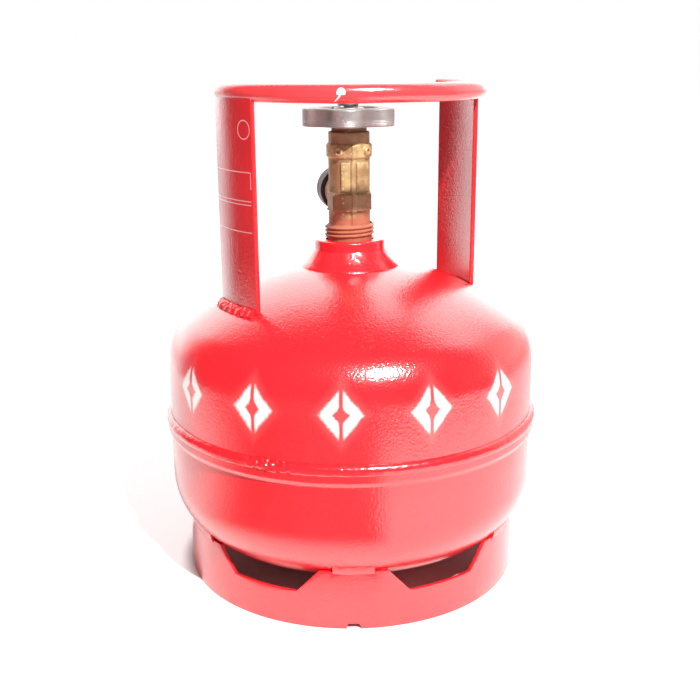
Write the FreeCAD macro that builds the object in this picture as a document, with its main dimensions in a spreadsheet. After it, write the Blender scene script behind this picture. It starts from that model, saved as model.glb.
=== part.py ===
import FreeCAD, Part
import math
import os
import re

import Sketcher

# Small steel gas cylinder of about five litres, in millimetres.
# The origin is the centre of the foot's underside, +Z is up, the two grip posts stand on
# the X axis and the open side of the grip faces +Y.

SIZES = {
    # shell, dished ends joined by a joggled lap
    "body_radius": (111.0, "outside radius of both dished ends"),
    "wall": (2.0, "sheet thickness of the dished ends"),
    "lap_gap": (0.2, "radial gap between the bell and the edge that it takes"),
    "top_crown": (168.0, "outside crown radius of the upper end"),
    "top_knuckle": (32.0, "outside knuckle radius of the upper end"),
    "top_side": (29.7, "straight wall of the upper end above the bell's rim"),
    "lap": (9.8, "length of the upper end inside the bell"),
    "base_crown": (210.0, "outside crown radius of the lower end"),
    "base_knuckle": (40.0, "outside knuckle radius of the lower end"),
    "base_tangent_z": (62.5, "level where the lower knuckle meets the straight wall"),
    "base_side": (25.0, "straight wall of the lower end below the step out to the bell"),
    "joggle_rise": (3.2, "height of the step out to the bell"),
    "bell_depth": (12.1, "height of the bell above the step"),
    "seat_gap": (0.05, "gap between a piece and what it is welded or seated on"),
    "girth_low": (3.2, "reach of the girth bead below the bell's rim"),
    "girth_high": (2.9, "reach of the girth bead above the bell's rim"),
    "girth_crown": (3.3, "radius of the girth bead's back"),
    # foot
    "foot_inset": (9.0, "how far the foot ring stands in from the shell's side"),
    "foot_wall": (2.0, "sheet thickness of the foot ring"),
    "vent_count": (6, "vents around the foot, and tabs between them"),
    "vent_depth": (13.9, "depth of a vent below the foot's top edge"),
    "vent_half_top": (33.4, "half width of a vent at the foot's top edge"),
    "vent_half_sill": (20.8, "half width of a vent at its lower edge"),
    "vent_corner": (2.5, "corner radius at a vent's lower edge"),
    "drain_half": (3.9, "half width of the drain notch"),
    "drain_rise": (3.2, "height of the drain notch"),
    "tab_weld_angle": (13.0, "length of a foot bead, as an angle"),
    "tab_weld_drop": (1.4, "reach of a foot bead down the ring"),
    "tab_weld_reach": (1.5, "reach of a foot bead out from the ring"),
    "tab_weld_crown": (9.0, "radius of a foot bead's back"),
    # grip
    "grip_inset": (36.5, "how far the grip's centre line stands in from the shell's side"),
    "rod_radius": (5.0, "radius of the grip's bar"),
    "grip_rise": (100.2, "height of the grip's centre line above the shell's top"),
    "grip_angle": (200.0, "angle that the grip's bar spans"),
    "rod_chamfer": (0.6, "chamfer on the bar's ends"),
    "post_out": (4.5, "how far a post's outer face stands out from the bar's centre line"),
    "post_wall": (3.0, "sheet thickness of a post"),
    "post_angle": (30.5, "angle that a post spans"),
    "post_turn": (3.75, "turn of each post from the sideways axis toward the closed front"),
    "post_corner": (1.0, "rounding of a post's long edges"),
    "post_weld_high": (3.4, "leg of a post's foot bead up the post"),
    "post_weld_out": (3.6, "leg of a post's foot bead out over the shell"),
    "post_weld_crown": (6.0, "radius of a post's foot bead"),
    "plate_weld_angle": (28.0, "length of the plate post's foot bead, as an angle"),
    "plain_weld_angle": (16.0, "length of the plain post's foot bead, as an angle"),
    "grip_weld_low": (3.2, "leg of a grip bead down the post"),
    "grip_weld_angle": (24.0, "length of a grip bead, as an angle"),
    # neck
    "neck_radius": (21.0, "outside radius of the neck boss"),
    "neck_show": (15.0, "height of the neck boss above its shoulder"),
    "neck_chamfer": (1.0, "chamfer on the neck boss"),
    "spigot_radius": (18.7, "radius of the spigot through the upper end"),
    "spigot_drop": (4.5, "reach of the spigot below the shoulder"),
    "spigot_gap": (0.3, "radial gap around the spigot"),
    "neck_weld_high": (9.4, "leg of the neck bead up the boss"),
    "neck_weld_radius": (29.4, "outer radius of the neck bead"),
    "neck_weld_hollow": (45.0, "radius of the neck bead's hollow face"),
    # valve, outside
    "cone_radius": (14.15, "tapered thread's radius at the mouth of the neck"),
    "cone_slope": (0.06, "growth of that radius for each unit of height"),
    "cone_depth": (18.0, "length of tapered thread inside the neck"),
    "cone_show": (8.0, "length of tapered thread above the neck"),
    "thread_gap": (0.05, "radial gap in a screwed joint"),
    "cap_gap": (0.09, "radial gap between the cap and the outlet's thread"),
    "shank_radius": (12.3, "radius of the shank"),
    "shank_height": (9.3, "height of the shank"),
    "band_radius": (14.2, "radius of the lower band"),
    "band_height": (9.9, "height of the lower band"),
    "waist_radius": (12.2, "radius of the waist"),
    "waist_height": (20.7, "height of the waist"),
    "collar_radius": (13.4, "radius of the collar"),
    "collar_height": (7.8, "height of the collar"),
    "head_radius": (12.1, "radius of the head"),
    "head_height": (7.0, "height of the head"),
    "flat_reach": (11.7, "distance from the axis to a spanner flat on the band"),
    "soft_edge": (0.6, "chamfer on the forging's bands"),
    "flash_angle": (9.0, "width of the forging's parting ridge, as an angle"),
    "flash_proud": (0.6, "height of the parting ridge"),
    "pad_angle": (86.0, "angle that both pads on the waist span together"),
    "pad_gap_angle": (22.0, "angle between the two pads"),
    "pad_margin": (2.2, "gap between a pad and the bands above and below"),
    "pad_proud": (0.5, "height of a pad"),
    "boss_angle": (37.5, "angle of a boss from the parting ridge"),
    "boss_radius": (2.3, "radius of a boss on the collar"),
    "boss_proud": (1.0, "height of a boss on the collar"),
    "boss_hole": (0.9, "radius of the centre mark in a boss"),
    # valve, outlet branch
    "outlet_rise": (26.0, "height of the outlet's axis above the neck boss"),
    "outlet_turn": (18.5, "angle of the outlet from +Y toward +X"),
    "branch_radius": (11.4, "radius of the outlet branch at the body"),
    "branch_end": (18.4, "distance from the axis to the branch's shoulder"),
    "outlet_radius": (10.9, "radius of the outlet thread"),
    "outlet_end": (31.0, "distance from the axis to the outlet's face"),
    "relief_radius": (9.7, "radius of the thread's run-out groove"),
    "relief_width": (1.8, "width of the thread's run-out groove"),
    "outlet_bore": (3.0, "radius of the outlet passage"),
    "mouth_bore": (5.5, "radius of the wider bore at the outlet's face"),
    "mouth_depth": (7.0, "depth of the wider bore"),
    # valve, inside
    "inlet_bore": (3.5, "radius of the inlet passage"),
    "seat_drop": (10.5, "distance from the outlet's axis down to the seat"),
    "seat_land": (1.3, "radial width of the seat's land"),
    "seat_height": (1.2, "height of the seat above the chamber's floor"),
    "chamber_radius": (7.4, "radius of the chamber"),
    "chamber_rise": (4.2, "distance from the outlet's axis up to the plug's thread"),
    "plug_radius": (8.0, "radius of the plug's thread"),
    "plug_lift": (3.0, "travel of the plug"),
    "plug_thread": (7.0, "length of thread on the plug"),
    "plug_neck": (4.2, "radius of the plug's neck"),
    "plug_foot": (5.9, "radius of the plug's foot"),
    "plug_foot_height": (5.5, "height of the plug's foot"),
    "insert_radius": (5.0, "radius of the seat insert"),
    "insert_height": (2.6, "height of the seat insert"),
    "insert_proud": (0.8, "part of the insert that stands out of the plug"),
    "square_side": (7.0, "side of the squares on the plug and the spindle"),
    "square_gap": (0.1, "gap on each side of a square"),
    "plug_square": (6.8, "length of the square on the plug"),
    "sleeve_radius": (7.0, "outside radius of the coupling sleeve"),
    "end_gap": (0.3, "end play between the plug, the sleeve and the spindle"),
    "spindle_square": (4.3, "length of the square on the spindle's lower end"),
    "gland_bore": (9.5, "radius of the bore that takes the gland nut"),
    "spindle_collar": (8.8, "radius of the spindle's collar"),
    "spindle_collar_height": (2.2, "height of the spindle's collar"),
    "packing_height": (1.8, "height of the spindle's gasket"),
    "spindle_radius": (5.0, "radius of the spindle"),
    "nut_flats": (10.2, "distance from the axis to a flat of the gland nut"),
    "nut_crown": (10.0, "radius of the round face on top of the gland nut"),
    "nut_flange_height": (2.8, "height of the gland nut's hexagon"),
    # handwheel and what holds it
    "wheel_gap": (0.25, "gap between the gland nut and the handwheel"),
    "wheel_height": (10.3, "height of the handwheel"),
    "lobe_count": (5, "lobes around the handwheel"),
    "lobe_radius": (9.5, "radius of a lobe"),
    "lobe_reach": (18.0, "distance from the axis to a lobe's centre"),
    "valley_reach": (22.3, "distance from the axis to the rim between lobes"),
    "lobe_turn": (-33.5, "angle of one lobe from -Y toward +X"),
    "hub_radius": (9.0, "radius of the handwheel's hub"),
    "dish_radius": (17.6, "outer radius of the hollows around the hub"),
    "dish_top": (3.2, "depth of the hollow on top"),
    "dish_under": (3.6, "depth of the hollow underneath"),
    "wheel_edge": (1.2, "rounding of the handwheel's rim"),
    "washer_radius": (7.0, "radius of the washer under the nut"),
    "washer_height": (0.8, "thickness of the washer"),
    "coil_radius": (5.9, "radius of the spring's centre line"),
    "wire_radius": (0.75, "radius of the spring's wire"),
    "coil_pitch": (2.1, "pitch of the spring"),
    "coil_turns": (2.4, "turns of the spring"),
    "stud_radius": (3.0, "radius of the spindle's threaded end"),
    "stud_over": (1.2, "length of that end above the nut"),
    "nut_flat": (5.0, "distance from the axis to a flat of the top nut"),
    "top_nut_height": (4.6, "height of the top nut"),
    # cap over the outlet
    "cap_radius": (13.5, "outside radius of the outlet cap"),
    "cap_start": (20.0, "distance from the axis to the cap's open edge"),
    "cap_end": (34.3, "distance from the axis to the cap's closed end"),
    "cap_floor": (1.6, "thickness of the cap's closed end"),
    "cap_edge": (1.2, "rounding of the cap's closed end"),
    "cap_lead": (0.7, "lead-in chamfer at the cap's open edge"),
    "disc_gap": (0.05, "gap on either side of the cap's gasket"),
    "disc_radius": (10.2, "radius of the cap's gasket"),
}

# What follows from the sizes: levels, tangent points and mating radii.
FITS = {
    "joggle_z": "base_tangent_z + base_side",
    "joggle_top_z": "joggle_z + joggle_rise",
    "bell_top_z": "joggle_top_z + bell_depth",
    "top_edge_z": "bell_top_z - lap",
    "top_tangent_z": "bell_top_z + top_side",
    "top_span": "body_radius - top_knuckle",
    "top_reach": "top_crown - top_knuckle",
    "top_centre_z": "top_tangent_z - sqrt(top_reach ^ 2 - top_span ^ 2)",
    "top_join_r": "top_crown * top_span / top_reach",
    "top_join_z": "top_centre_z + top_crown * (top_tangent_z - top_centre_z) / top_reach",
    "top_inner_join_r": "(top_crown - wall) * top_span / top_reach",
    "top_inner_join_z": "top_centre_z + (top_crown - wall) * (top_tangent_z - top_centre_z) / top_reach",
    "base_span": "body_radius - base_knuckle",
    "base_reach": "base_crown - base_knuckle",
    "base_centre_z": "base_tangent_z + sqrt(base_reach ^ 2 - base_span ^ 2)",
    "base_join_r": "base_crown * base_span / base_reach",
    "base_join_z": "base_centre_z - base_crown * (base_centre_z - base_tangent_z) / base_reach",
    "base_inner_crown": "base_crown - wall",
    "base_inner_join_r": "base_inner_crown * base_span / base_reach",
    "base_inner_join_z": "base_centre_z - base_inner_crown * (base_centre_z - base_tangent_z) / base_reach",
    "bell_inner": "body_radius + lap_gap",
    "bell_outer": "bell_inner + wall",
    "foot_radius": "body_radius - foot_inset",
    "foot_inner": "foot_radius - foot_wall",
    "foot_top_z": "base_tangent_z - sqrt(base_knuckle ^ 2 - (foot_inner - base_span) ^ 2) - seat_gap",
    "vent_sill": "foot_top_z - vent_depth",
    "vent_slope": "atan(vent_depth / (vent_half_top - vent_half_sill))",
    "vent_cut": "vent_corner * tan(vent_slope / 2)",
    "vent_round_x": "vent_half_sill + vent_cut * cos(vent_slope)",
    "vent_round_z": "vent_sill + vent_cut * sin(vent_slope)",
    "tab_weld_out": "foot_radius + tab_weld_reach",
    "grip_radius": "body_radius - grip_inset",
    "grip_z": "top_centre_z + top_crown + grip_rise",
    "post_radius": "grip_radius + post_out",
    "post_inner": "post_radius - post_wall",
    "rod_seat": "rod_radius + seat_gap",
    "post_top_in": "grip_z - sqrt(rod_seat ^ 2 - (post_inner - grip_radius) ^ 2)",
    "post_top_out": "grip_z - sqrt(rod_seat ^ 2 - (post_radius - grip_radius) ^ 2)",
    "neck_hole": "spigot_radius + spigot_gap",
    "neck_seat_z": "top_centre_z + sqrt(top_crown ^ 2 - neck_radius ^ 2) + seat_gap",
    "neck_top_z": "neck_seat_z + neck_show",
    "outlet_z": "neck_top_z + outlet_rise",
    "spigot_seat_z": "top_centre_z + sqrt(top_crown ^ 2 - neck_hole ^ 2) + seat_gap",
    "spigot_low_z": "spigot_seat_z - spigot_drop",
    "neck_bore_top": "cone_radius + thread_gap",
    "neck_bore_low": "neck_bore_top - cone_slope * (neck_top_z - spigot_low_z)",
    "cone_low_z": "neck_top_z - cone_depth",
    "cone_top_z": "neck_top_z + cone_show",
    "shank_top_z": "cone_top_z + shank_height",
    "band_top_z": "shank_top_z + band_height",
    "waist_top_z": "band_top_z + waist_height",
    "collar_top_z": "waist_top_z + collar_height",
    "head_top_z": "collar_top_z + head_height",
    "pad_low_z": "band_top_z + pad_margin",
    "pad_top_z": "waist_top_z - pad_margin",
    "flash_turn": "180 - outlet_turn",
    "boss_z": "waist_top_z + collar_height / 2",
    "boss_end": "collar_radius + boss_proud",
    "seat_z": "outlet_z - seat_drop",
    "chamber_low_z": "seat_z - seat_height",
    "seat_outer": "inlet_bore + seat_land",
    "chamber_top_z": "outlet_z + chamber_rise",
    "plug_low_z": "seat_z + seat_gap",
    "holder_low_z": "plug_low_z + insert_proud",
    "holder_roof_z": "plug_low_z + insert_height + seat_gap",
    "holder_top_z": "holder_low_z + plug_foot_height",
    "plug_thread_z": "chamber_top_z + end_gap",
    "plug_thread_top_z": "plug_thread_z + plug_thread",
    "plug_top_z": "plug_thread_top_z + plug_square",
    "sleeve_low_z": "plug_thread_top_z + plug_lift + end_gap",
    "spindle_low_z": "plug_top_z + plug_lift + end_gap",
    "collar_seat_z": "spindle_low_z + spindle_square",
    "sleeve_top_z": "collar_seat_z - end_gap",
    "gland_floor_z": "collar_seat_z - end_gap",
    "spindle_collar_z": "collar_seat_z + spindle_collar_height",
    "packing_z": "spindle_collar_z + seat_gap",
    "packing_top_z": "packing_z + packing_height",
    "nut_low_z": "packing_top_z + seat_gap",
    "nut_seat_z": "head_top_z + seat_gap",
    "nut_top_z": "nut_seat_z + nut_flange_height",
    "nut_thread": "gland_bore - thread_gap",
    "nut_corner": "nut_flats / cos(30)",
    "nut_crown_drop": "(nut_corner - nut_crown) * tan(30)",
    "spindle_bore": "spindle_radius + thread_gap",
    "square_half": "square_side / 2",
    "socket_half": "square_half + square_gap",
    "wheel_z": "nut_top_z + wheel_gap",
    "wheel_top_z": "wheel_z + wheel_height",
    "square_start_z": "nut_top_z - 0.4 * nut_flange_height",
    "square_end_z": "wheel_top_z - end_gap",
    "valley_gap": "lobe_radius - valley_reach",
    "half_pitch": "180 / lobe_count",
    "valley_centre": "(lobe_reach ^ 2 - valley_gap ^ 2) / (2 * (valley_gap + lobe_reach * cos(half_pitch)))",
    "valley_radius": "valley_centre - valley_reach",
    "coil_base_z": "wheel_top_z + wire_radius + seat_gap",
    "coil_height": "coil_pitch * coil_turns",
    "coil_top_z": "coil_base_z + coil_height + wire_radius",
    "washer_z": "coil_top_z + seat_gap",
    "top_nut_z": "washer_z + washer_height + seat_gap",
    "top_nut_top_z": "top_nut_z + top_nut_height",
    "stud_top_z": "top_nut_top_z + stud_over",
    "relief_end": "branch_end + relief_width",
    "cap_bore": "outlet_radius + cap_gap",
    "cap_roof": "cap_end - cap_floor",
    "disc_start": "outlet_end + disc_gap",
    "disc_end": "cap_roof - disc_gap",
}

# where the posts stand, counter-clockwise from +X
POST_TURNS = {
    "plain_post": "360 - post_turn",
    "plate_post": "180 + post_turn",
}

OWNER = {}
OWNER.update({alias: "Sizes." for alias in SIZES})
OWNER.update({alias: "Fits." for alias in FITS})


def bind(text, home=""):
    """The expression with each alias told which sheet it is in, unless that is its own."""
    def name_sheet(match):
        sheet = OWNER.get(match.group(0), "")
        return match.group(0) if sheet == home else sheet + match.group(0)
    return re.sub(r"[a-z_][a-z0-9_]*", name_sheet, text)


def make_sheets(document):
    """Fill the sheet of driving sizes and the sheet of what follows from them."""
    sizes = document.addObject("Spreadsheet::Sheet", "Sizes")
    for row, (alias, (number, meaning)) in enumerate(SIZES.items(), start=1):
        sizes.set(f"A{row}", meaning)
        sizes.set(f"B{row}", str(number))
        sizes.setAlias(f"B{row}", alias)
    fits = document.addObject("Spreadsheet::Sheet", "Fits")
    for row, (alias, formula) in enumerate(FITS.items(), start=1):
        fits.set(f"A{row}", alias.replace("_", " "))
        fits.setAlias(f"B{row}", alias)
    for row, (alias, formula) in enumerate(FITS.items(), start=1):
        fits.set(f"B{row}", "=" + bind(formula, "Fits."))
    document.recompute()
    return fits


def value(text):
    """The number that an expression gives now."""
    return float(sheet.evalExpression(bind(text)))


def new_body(label):
    """An empty body named after its piece."""
    body = doc.addObject("PartDesign::Body", label)
    body.Label = label
    nodes.append(body)
    return body


def origin_plane(body, role):
    return next(plane for plane in body.Origin.OriginFeatures if plane.Role == role)


def new_sketch(body, name, plane="XZ_Plane", lift=None, turn=None, swing=None):
    """A sketch on a plane of the body: raised along or turned about its normal, or swung about V."""
    sketch = body.newObject("Sketcher::SketchObject", body.Label + "_" + name)
    sketch.AttachmentSupport = [(origin_plane(body, plane), "")]
    sketch.MapMode = "FlatFace"
    if lift:
        sketch.setExpression("AttachmentOffset.Base.z", bind(lift))
    if swing:
        tilt = FreeCAD.Rotation(FreeCAD.Vector(0, 1, 0), 45)
        sketch.AttachmentOffset = FreeCAD.Placement(FreeCAD.Vector(), tilt)
    if turn or swing:
        sketch.setExpression("AttachmentOffset.Rotation.Angle", bind(turn or swing))
    doc.recompute()
    return sketch


def arc_between(start, end, radius, side):
    """Arc from start to end with its centre on the left (side 1) or right (side -1)."""
    middle = (start + end) * 0.5
    along = (end - start).normalize()
    left = FreeCAD.Vector(-along.y, along.x, 0)
    half = start.distanceToPoint(end) / 2
    centre = middle + left * side * math.sqrt(max(radius ** 2 - half ** 2, 0.0))
    ends = (start, end) if side > 0 else (end, start)
    angles = [math.atan2(p.y - centre.y, p.x - centre.x) for p in ends]
    circle = Part.Circle(centre, FreeCAD.Vector(0, 0, 1), radius)
    return Part.ArcOfCircle(circle, angles[0], angles[1])


def pin_coordinate(sketch, item, kind, text, number):
    """Hold one coordinate of a segment's first end at an expression."""
    geometry, end = item
    if abs(number) < 1e-9:
        axis = -2 if kind == "DistanceX" else -1
        sketch.addConstraint(Sketcher.Constraint("PointOnObject", geometry, end, axis))
        return
    if number > 0:
        index = sketch.addConstraint(Sketcher.Constraint(kind, -1, 1, geometry, end, number))
        sketch.setExpression(f"Constraints[{index}]", bind(text))
    else:
        index = sketch.addConstraint(Sketcher.Constraint(kind, geometry, end, -1, 1, -number))
        sketch.setExpression(f"Constraints[{index}]", bind(f"-({text})"))


def draw_loop(sketch, points):
    """Close a loop through points (x, y), or (x, y, radius, side) where an arc ends."""
    spots = [FreeCAD.Vector(value(p[0]), value(p[1]), 0) for p in points]
    count = len(points)
    ends = []
    for index in range(count):
        start, end = spots[index], spots[(index + 1) % count]
        arc = points[(index + 1) % count][2:]
        if arc:
            shape = arc_between(start, end, value(arc[0]), arc[1])
            first, last = (1, 2) if arc[1] > 0 else (2, 1)
        else:
            shape = Part.LineSegment(start, end)
            first, last = 1, 2
        number = sketch.addGeometry(shape, False)
        ends.append((number, first, last, arc))
    for index, (number, first, last, arc) in enumerate(ends):
        following = ends[(index + 1) % count]
        sketch.addConstraint(Sketcher.Constraint("Coincident", number, last, following[0], following[1]))
        pin_coordinate(sketch, (number, first), "DistanceX", points[index][0], spots[index].x)
        pin_coordinate(sketch, (number, first), "DistanceY", points[index][1], spots[index].y)
        if arc:
            radius = sketch.addConstraint(Sketcher.Constraint("Radius", number, value(arc[0])))
            sketch.setExpression(f"Constraints[{radius}]", bind(arc[0]))
    doc.recompute()


def draw_circle(sketch, x, y, radius):
    number = sketch.addGeometry(Part.Circle(FreeCAD.Vector(value(x), value(y), 0),
                                            FreeCAD.Vector(0, 0, 1), value(radius)), False)
    pin_coordinate(sketch, (number, 3), "DistanceX", x, value(x))
    pin_coordinate(sketch, (number, 3), "DistanceY", y, value(y))
    size = sketch.addConstraint(Sketcher.Constraint("Radius", number, value(radius)))
    sketch.setExpression(f"Constraints[{size}]", bind(radius))
    doc.recompute()


def draw_polygon(sketch, sides, flat):
    """A regular polygon about the sketch's origin, given the distance to its flats."""
    step = 360 / sides
    points = []
    for index in range(sides):
        angle = step * index
        points.append((f"({flat}) / cos({step / 2}) * cos({angle})",
                       f"({flat}) / cos({step / 2}) * sin({angle})"))
    draw_loop(sketch, points)


def finish(body, feature):
    """Make a feature the body's result and check that it gives a solid."""
    body.Tip = feature
    doc.recompute()
    if "Invalid" in feature.State or "Error" in feature.State or feature.Shape.isNull():
        raise RuntimeError(f"{body.Label}: {feature.Name} failed")
    return feature


def turn_solid(body, name, points, angle=None, plane="XZ_Plane", lift=None, turn=None, swing=None, cut=False):
    """Revolve a profile (radius, height) about the sketch's upright axis."""
    sketch = new_sketch(body, name + "_profile", plane, lift, turn, swing)
    draw_loop(sketch, points)
    before = body.Tip.Shape.Volume if cut else 0
    kind = "PartDesign::Groove" if cut else "PartDesign::Revolution"
    feature = body.newObject(kind, body.Label + "_" + name)
    feature.Profile = sketch
    feature.ReferenceAxis = (sketch, ["V_Axis"])
    if angle:
        feature.Midplane = True
        feature.setExpression("Angle", bind(angle))
    else:
        feature.Angle = 360
    finish(body, feature)
    if cut and not feature.Shape.Volume < before:
        raise RuntimeError(f"{body.Label}: {name} removes nothing")
    return feature


def raise_solid(body, name, sketch, height, cut=False, both=False):
    """Pad or pocket a sketch by a height, or on both sides of it."""
    before = body.Tip.Shape.Volume if cut else 0
    feature = body.newObject("PartDesign::Pocket" if cut else "PartDesign::Pad", body.Label + "_" + name)
    feature.Profile = sketch
    feature.setExpression("Length", bind(height))
    if both:
        feature.Midplane = True
    elif cut:
        feature.Reversed = True
    finish(body, feature)
    if cut and not feature.Shape.Volume < before:
        raise RuntimeError(f"{body.Label}: {name} removes nothing")
    return feature


def repeat_around(body, name, features, count):
    """Repeat features evenly about the body's Z axis."""
    pattern = body.newObject("PartDesign::PolarPattern", body.Label + "_" + name)
    pattern.Originals = features
    pattern.Axis = (origin_plane(body, "Z_Axis"), [""])
    pattern.Angle = 360
    pattern.setExpression("Occurrences", bind(count))
    return finish(body, pattern)


def dress(body, kind, name, edges, size):
    """Fillet or chamfer the last feature's edges that a test picks out."""
    base = body.Tip
    names = [f"Edge{i}" for i, edge in enumerate(base.Shape.Edges, start=1) if edges(edge)]
    if not names:
        raise RuntimeError(f"{body.Label}: {name} found no edge")
    feature = body.newObject("PartDesign::" + kind, body.Label + "_" + name)
    feature.Base = (base, names)
    feature.setExpression("Radius" if kind == "Fillet" else "Size", bind(size))
    return finish(body, feature)


def upright(edge):
    """Test for edges that run straight up."""
    box = edge.BoundBox
    return box.ZLength > 1 and box.XLength < 1e-4 and box.YLength < 1e-4


def flat_at(z, radius=None):
    """Test for level edges at a height, and at a distance from the axis where one is given."""
    def test(edge):
        box = edge.BoundBox
        if abs(box.ZMin - value(z)) > 1e-4 or abs(box.ZMax - value(z)) > 1e-4:
            return False
        if radius is None:
            return True
        far = max(math.hypot(v.X, v.Y) for v in edge.Vertexes)
        return abs(far - value(radius)) < 1e-3
    return test


def top_shell(r, drop="0"):
    """Height of the upper end's outside at a radius on its crown."""
    return f"top_centre_z + sqrt(top_crown ^ 2 - ({r}) ^ 2) - ({drop})"


def make_upper_dish():
    body = new_body("upper_dish")
    inner = "top_crown - wall"
    turn_solid(body, "sheet", [
        ("neck_hole", top_shell("neck_hole")),
        ("top_join_r", "top_join_z", "top_crown", -1),
        ("body_radius", "top_tangent_z", "top_knuckle", -1),
        ("body_radius", "top_edge_z"),
        ("body_radius - wall", "top_edge_z"),
        ("body_radius - wall", "top_tangent_z"),
        ("top_inner_join_r", "top_inner_join_z", "top_knuckle - wall", 1),
        ("neck_hole", f"top_centre_z + sqrt(({inner}) ^ 2 - neck_hole ^ 2)", inner, 1),
    ])


def make_lower_dish():
    body = new_body("lower_dish")
    turn_solid(body, "sheet", [
        ("0", "base_centre_z - base_crown"),
        ("base_join_r", "base_join_z", "base_crown", 1),
        ("body_radius", "base_tangent_z", "base_knuckle", 1),
        ("body_radius", "joggle_z"),
        ("bell_outer", "joggle_top_z"),
        ("bell_outer", "bell_top_z"),
        ("bell_inner", "bell_top_z"),
        ("bell_inner", "joggle_top_z"),
        ("body_radius - wall", "joggle_z"),
        ("body_radius - wall", "base_tangent_z"),
        ("base_inner_join_r", "base_inner_join_z", "base_knuckle - wall", -1),
        ("0", "base_centre_z - base_crown + wall", "base_crown - wall", -1),
    ])


def make_girth_weld():
    body = new_body("girth_weld")
    turn_solid(body, "bead", [
        ("bell_outer + seat_gap", "bell_top_z - girth_low"),
        ("body_radius + seat_gap", "bell_top_z + girth_high", "girth_crown", 1),
        ("body_radius + seat_gap", "bell_top_z + seat_gap"),
        ("bell_outer + seat_gap", "bell_top_z + seat_gap"),
    ])


def make_neck():
    body = new_body("neck_boss")
    turn_solid(body, "ring", [
        ("neck_bore_low", "spigot_low_z"),
        ("spigot_radius", "spigot_low_z"),
        ("spigot_radius", "spigot_seat_z"),
        ("neck_radius", "neck_seat_z"),
        ("neck_radius", "neck_top_z - neck_chamfer"),
        ("neck_radius - neck_chamfer", "neck_top_z"),
        ("neck_bore_top", "neck_top_z"),
    ])
    body = new_body("neck_weld")
    turn_solid(body, "bead", [
        ("neck_radius + seat_gap", top_shell("neck_radius + seat_gap", "-seat_gap")),
        ("neck_weld_radius", top_shell("neck_weld_radius", "-seat_gap"), "top_crown", -1),
        ("neck_radius + seat_gap", "neck_seat_z + neck_weld_high", "neck_weld_hollow", -1),
    ])


def make_foot():
    body = new_body("foot_ring")
    turn_solid(body, "hoop", [
        ("foot_inner", "0"),
        ("foot_radius", "0"),
        ("foot_radius", "foot_top_z"),
        ("foot_inner", "foot_top_z"),
    ])
    over = "foot_top_z + foot_wall"
    wide = "vent_half_top + (vent_half_top - vent_half_sill) / (foot_top_z - vent_sill) * foot_wall"
    sketch = new_sketch(body, "vent_outline")
    draw_loop(sketch, [
        ("-(vent_half_sill - vent_cut)", "vent_sill", "vent_corner", 1),
        ("vent_half_sill - vent_cut", "vent_sill"),
        ("vent_round_x", "vent_round_z", "vent_corner", 1),
        (wide, over),
        (f"-({wide})", over),
        ("-vent_round_x", "vent_round_z"),
    ])
    vent = raise_solid(body, "vent", sketch, "foot_radius + foot_wall", cut=True)
    repeat_around(body, "vents", [vent], "vent_count")
    sketch = new_sketch(body, "drain_outline", "YZ_Plane")
    draw_loop(sketch, [
        ("-drain_half", "-drain_rise"),
        ("drain_half", "-drain_rise"),
        ("drain_half", "drain_rise - drain_half / 2"),
        ("drain_half / 2", "drain_rise", "drain_half / 2", 1),
        ("-drain_half / 2", "drain_rise"),
        ("-drain_half", "drain_rise - drain_half / 2", "drain_half / 2", 1),
    ])
    raise_solid(body, "drain", sketch, "foot_radius + foot_wall", cut=True)
    # the tab with the drain notch is the one a third of the way round from +X
    body.setExpression("Placement.Rotation.Angle", bind("240"))

    body = new_body("foot_welds")
    top = "foot_top_z + seat_gap"
    middle = "foot_inner + foot_wall / 2"
    turn_solid(body, "bead", [
        ("foot_radius + seat_gap", "foot_top_z - tab_weld_drop"),
        ("tab_weld_out", base_shell("tab_weld_out"), "tab_weld_crown", 1),
        (middle, base_shell(middle), "base_knuckle + seat_gap", -1),
        (middle, top),
        ("foot_radius + seat_gap", top),
    ], angle="tab_weld_angle")
    repeat_around(body, "beads", [body.Tip], "vent_count")


def base_shell(r):
    """Height of the lower end's outside at a radius on its knuckle, less the seating gap."""
    return f"base_tangent_z - sqrt((base_knuckle + seat_gap) ^ 2 - ({r} - base_span) ^ 2)"


def make_posts():
    """Two curved posts, each with a bead along the outside of its foot."""
    for label in POST_TURNS:
        body = new_body(label)
        turn_solid(body, "sheet", [
            ("post_inner", top_shell("post_inner", "-seat_gap")),
            ("post_radius", top_shell("post_radius", "-seat_gap"), "top_crown", -1),
            ("post_radius", "post_top_out"),
            ("post_inner", "post_top_in", "rod_seat", -1),
        ], angle="post_angle")
        dress(body, "Fillet", "long_edges", upright, "post_corner")
        body.setExpression("Placement.Rotation.Angle", bind(POST_TURNS[label]))

    body = new_body("post_welds")
    face = "post_radius + seat_gap"
    end = "post_radius + post_weld_out"
    for label, turned in POST_TURNS.items():
        turn_solid(body, label + "_bead", [
            (face, top_shell(face, "-seat_gap")),
            (end, top_shell(end, "-seat_gap"), "top_crown", -1),
            (face, top_shell(face, "-post_weld_high"), "post_weld_crown", 1),
        ], angle=label.replace("post", "weld_angle"), swing=turned)


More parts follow.
